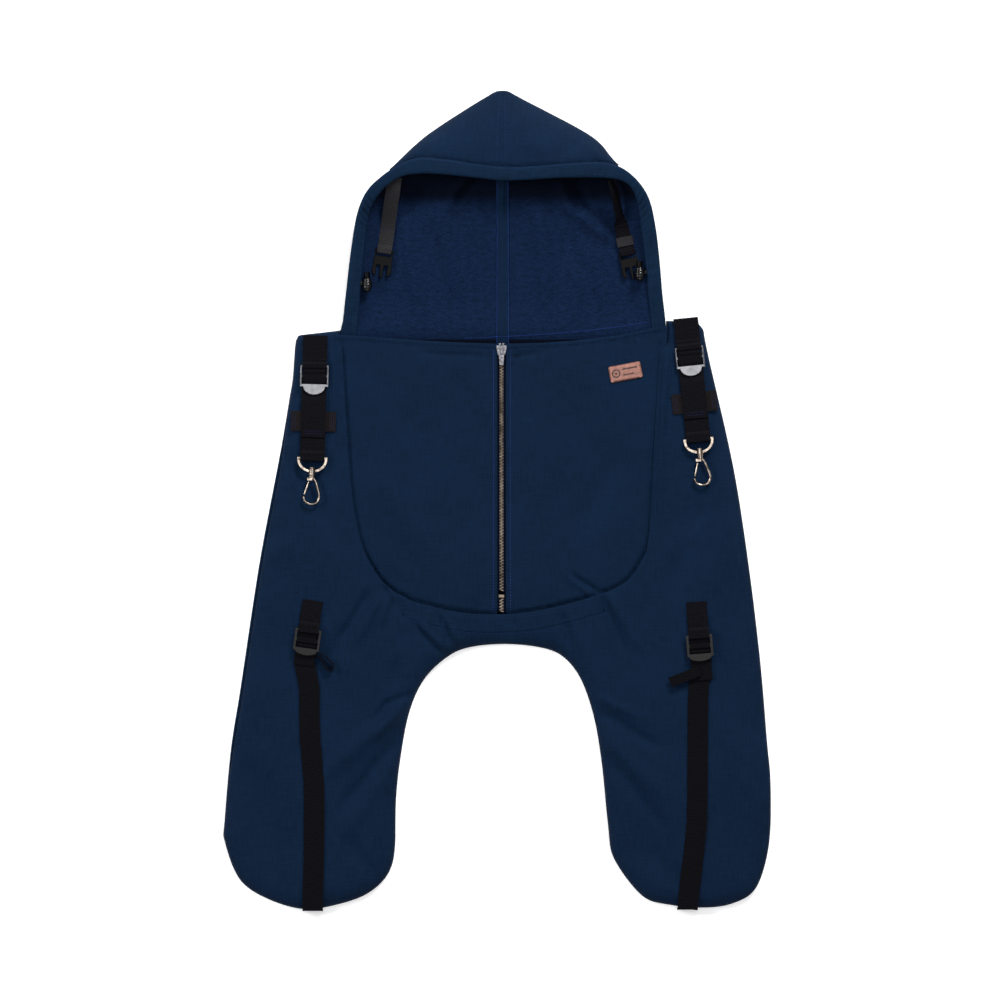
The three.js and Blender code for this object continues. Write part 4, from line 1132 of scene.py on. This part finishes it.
def tube(name, line, radius, paint, sides=12):
    line = np.asarray(line, float)
    along = ways_of(line)
    side = np.cross(along, (0, 0, 1.0))
    side /= np.linalg.norm(side, axis=1)[:, None]
    up = np.cross(side, along)
    length = run_of(line)
    a = ring_of(sides)
    rows, weave = [], []
    for p, s, u, l in zip(line, side, up, length):
        rows.append(p + radius * (np.cos(a)[:, None] * s + np.sin(a)[:, None] * u))
        weave.append(np.column_stack([radius * a, np.full(sides, l), 0 * a]))
    return loft(name, rows, paint, weave)


for side, centre in LOCKS.items():
    cord_lock("cord_lock_" + side, centre)
hem_middle = (outer_line + inner_line) / 2
left_run = hem_middle[:, 0] < ZIP_X
kept = np.where(left_run, hem_middle[:, 1] > LOCKS["left"][1] + 8, hem_middle[:, 1] > LOCKS["right"][1] + 8)


def cord_exit(side, way):
    """From inside a lock to where the cord goes into the hem's inner edge."""
    x, y, z = LOCKS[side]
    run = inner_line[inner_line[:, 0] * way > 0]
    entry = run[np.argmin(np.abs(run[:, 1] - y - 4))]
    return [(x + way * 4.7, y, z - 0.6), tuple(entry + (way * 1.5, 0, 0.2))]


low_middle = hem_middle - (0, 0, 0.3)
cord_line = np.vstack([cord_exit("left", -1), low_middle[kept][8:-8:6], cord_exit("right", 1)[::-1]])
cord = tube("drawcord_made", spline(cord_line, 3.0), CORD_RADIUS, CORD_BRAID)
settle(cord, "hood", ["drawcord"])

# ---- Label ----

LABEL_AT = ((128.3, 127.2), 10.8)
LABEL_HALF = (16.3, 8.2)
LABEL_CORNER = 2.2
LABEL_BARS = [(-2.6, 2.4, 12.4, 3.9), (-2.6, -3.4, 8.4, -1.9)]


def rounded_box(half, corner, steps=6):
    a = np.linspace(0, math.pi / 2, steps)
    points = []
    for quarter, (sx, sy) in enumerate(((1, 1), (-1, 1), (-1, -1), (1, -1))):
        t = a + quarter * math.pi / 2
        x = sx * (half[0] - corner) + corner * np.cos(t)
        y = sy * (half[1] - corner) + corner * np.sin(t)
        points.append(np.column_stack([x, y]))
    return np.vstack(points)


def label_mark(local):
    """Where the label is marked: a ring with a dot at the left, and two plain bars."""
    r = np.hypot(local[:, 0] + 9.4, local[:, 1])
    marked = ((r > 2.9) & (r < 4.3)) | (r < 1.3)
    for x0, y0, x1, y1 in LABEL_BARS:
        marked |= (local[:, 0] > x0) & (local[:, 0] < x1) & (local[:, 1] > y0) & (local[:, 1] < y1)
    return marked


def make_label():
    outline = rounded_box(LABEL_HALF, LABEL_CORNER)
    rim = np.array([spot(LABEL_AT, x, y)[:2] for x, y in outline])

    def local(points):
        return np.column_stack(in_frame(LABEL_AT, *points.T))

    def top(points):
        edge = distance(points, rim)
        border = -0.35 * ridge(edge, 1.3, 0.35)
        return 12.1 + border - 0.25 * label_mark(local(points))

    made = sheet("label_made", rim, top, 1.3, [LEATHER], 0.6, (0.3, 0.7, 1.1, 1.5))
    made.data.materials.append(LEATHER_MARK)
    repaint(made, lambda middles: label_mark(local(middles[:, :2])) & (middles[:, 2] > 11.3))
    return settle(made, "body", ["label"])


make_label()

# ---- Hood seam tape ----

TAPE_HALF = 6.5
lining_height = surface_of(lining)
tape_outline = rounded_box((TAPE_HALF, 85), 1.0, 3) + (ZIP_X + 1.2, 150 + 85)
tape_line = spline(tape_outline, 4.0, closed=True)


def tape_top(points):
    base = np.array([lining_height(x, y) for x, y in points])
    x, y = points[:, 0] - ZIP_X - 1, points[:, 1]
    gathered = 0.35 * np.sin(y / 1.9 + 2 * np.sin(y / 13)) * step_between(2.0, 5.0, np.abs(x))
    return base + 0.9 + 1.5 * ridge(x, 0, 1.5) + gathered


seam_tape = sheet("hood_seam_tape_made", tape_line, tape_top, 0.8, [SHELL], 2.0, (0.4, 1.0))
bend(seam_tape, ["hood_seam_tape"])

# ---- Stitching ----


def even(line, pitch):
    line = np.asarray(line, float)
    length = run_of(line)
    count = max(2, int(length[-1] / pitch) + 1)
    at = np.linspace(0, length[-1], count)
    return np.column_stack([np.interp(at, length, column) for column in line.T])


def stitches(name, rows, height, paint, pitch=3.0, share=0.72, wide=0.38, lift=0.3):
    """Rows of stitches: each is a spindle that lies on the surface below it."""
    points, faces = [], []
    for row in rows:
        line = even(row, pitch)
        for a, b in zip(line, line[1:]):
            middle, half = (a + b) / 2, (b - a) * share / 2
            side = np.array([-half[1], half[0]]) / max(np.linalg.norm(half[:2]), 1e-6) * wide
            start, end = middle - half, middle + half
            first, level, last = (height(*p) for p in (start, middle, end))
            k = len(points)
            points += [
                (*start, first - 0.1), (*(middle + side), level + 0.05), (*middle, level + lift),
                (*(middle - side), level + 0.05), (*middle, level - lift), (*end, last - 0.1),
            ]
            for m in range(4):
                n = (m + 1) % 4
                faces += [(k, k + 1 + n, k + 1 + m), (k + 5, k + 1 + m, k + 1 + n)]
    return make(name, points, faces, [paint])


front_height = surface_of(front, band, *bibs.values())
zip_rows = [[(-3.6, 150), (-3.2, 40), (-3.8, -112)], [(13.6, 150), (13.2, 40), (13.4, -112)]]
settle(stitches("zip_topstitch", zip_rows, front_height, BLUE_THREAD), "body")
bib_rows = [
    [(x, 150.6 + neck_lift(x)) for x in np.linspace(-149, -2, 12)],
    [(x, 150.6 + neck_lift(x)) for x in np.linspace(11, 157, 12)],
    [
        (-90, -116.5), (-70, -124), (-51, -130), (-17, -133.5), (21, -133.5), (49, -130.5), (82, -121.5),
        (111, -114),
    ],
]
bib_rows = [spline(row, 6.0) for row in bib_rows]
settle(stitches("panel_topstitch", bib_rows, front_height, NAVY_THREAD), "body")
neck_row = [(-34, 161), (17, 163.5), (71, 167), (120, 172.5), (150, 177.5)]
hood_seam_rows = [
    [(-0.2, 152), (0.0, 240), (0.3, 318)], [(11.6, 152), (11.4, 240), (11.0, 318)], spline(neck_row, 6.0)
]
seam_height = surface_of(lining, seam_tape)
hood_seam_stitch = stitches("hood_seam_stitch", hood_seam_rows, seam_height, SEAM_THREAD, 2.4, 0.96, 0.6)
bend(hood_seam_stitch)
hem_height = surface_of(hem, crown)
at_brim = (outer_line[:, 1] > 318) | ((outer_line[:, 1] > 300) & (np.abs(outer_line[:, 0]) < 120))
brim_row = (outer_line * 0.88 + inner_line * 0.12)[at_brim][:, :2]
side_rows = [
    (inner_line * 0.86 + outer_line * 0.14)[(inner_line[:, 1] < 296) & (inner_line[:, 0] * way > 0)][:, :2]
    for way in (-1, 1)
]
hem_stitch = stitches("hem_stitch", [brim_row, *side_rows], hem_height, NAVY_THREAD, 2.6, 0.9, 0.5)
bend(hem_stitch)
crown_rows = [[(0.2, 338), (0.8, 370), (2.6, 404)], [(8.2, 338), (8.4, 370), (7.6, 404)]]
settle(stitches("crown_stitch", crown_rows, surface_of(crown), NAVY_THREAD), "hood")


def webbing_stitches(key, at, rows, body, thread=DIM_THREAD):
    lines = [[spot(at, x, y)[:2] for x, y in row] for row in rows]
    height = surface_of(*(made_of[k] for k in made_of if k.endswith(key.rsplit("_", 1)[1])))
    return settle(stitches(key + "_stitch", lines, height, thread, 2.2), body)


def box_and_cross(x, y0, y1):
    return [
        [(-x, y0), (x, y0)], [(-x, y1), (x, y1)], [(-x, y0), (-x, y1)], [(x, y0), (x, y1)],
        [(-x, y0), (x, y1)], [(-x, y1), (x, y0)],
    ]


for side, at in SHOULDERS.items():
    rows = [[(x, -47), (x, -63)] for x in (-20.5, -18, 18, 20.5)]
    webbing_stitches("shoulder_keeper_" + side, at, rows, "body")
    rows = [[(-9, y), (9, y)] for y in (-67.5, -64.8)]
    webbing_stitches("shoulder_strap_" + side, at, rows, "body")
for side, at in LEGS.items():
    webbing_stitches("leg_anchor_tab_" + side, at, box_and_cross(7.5, 8, 26), "body", DARK_THREAD)
rows = [[(-5.5, y), (5.5, y)] for y in (20.4, 23.6)]
webbing_stitches("hood_strap_left", HOOD_STRAPS["left"], rows, "hood", DIM_THREAD)
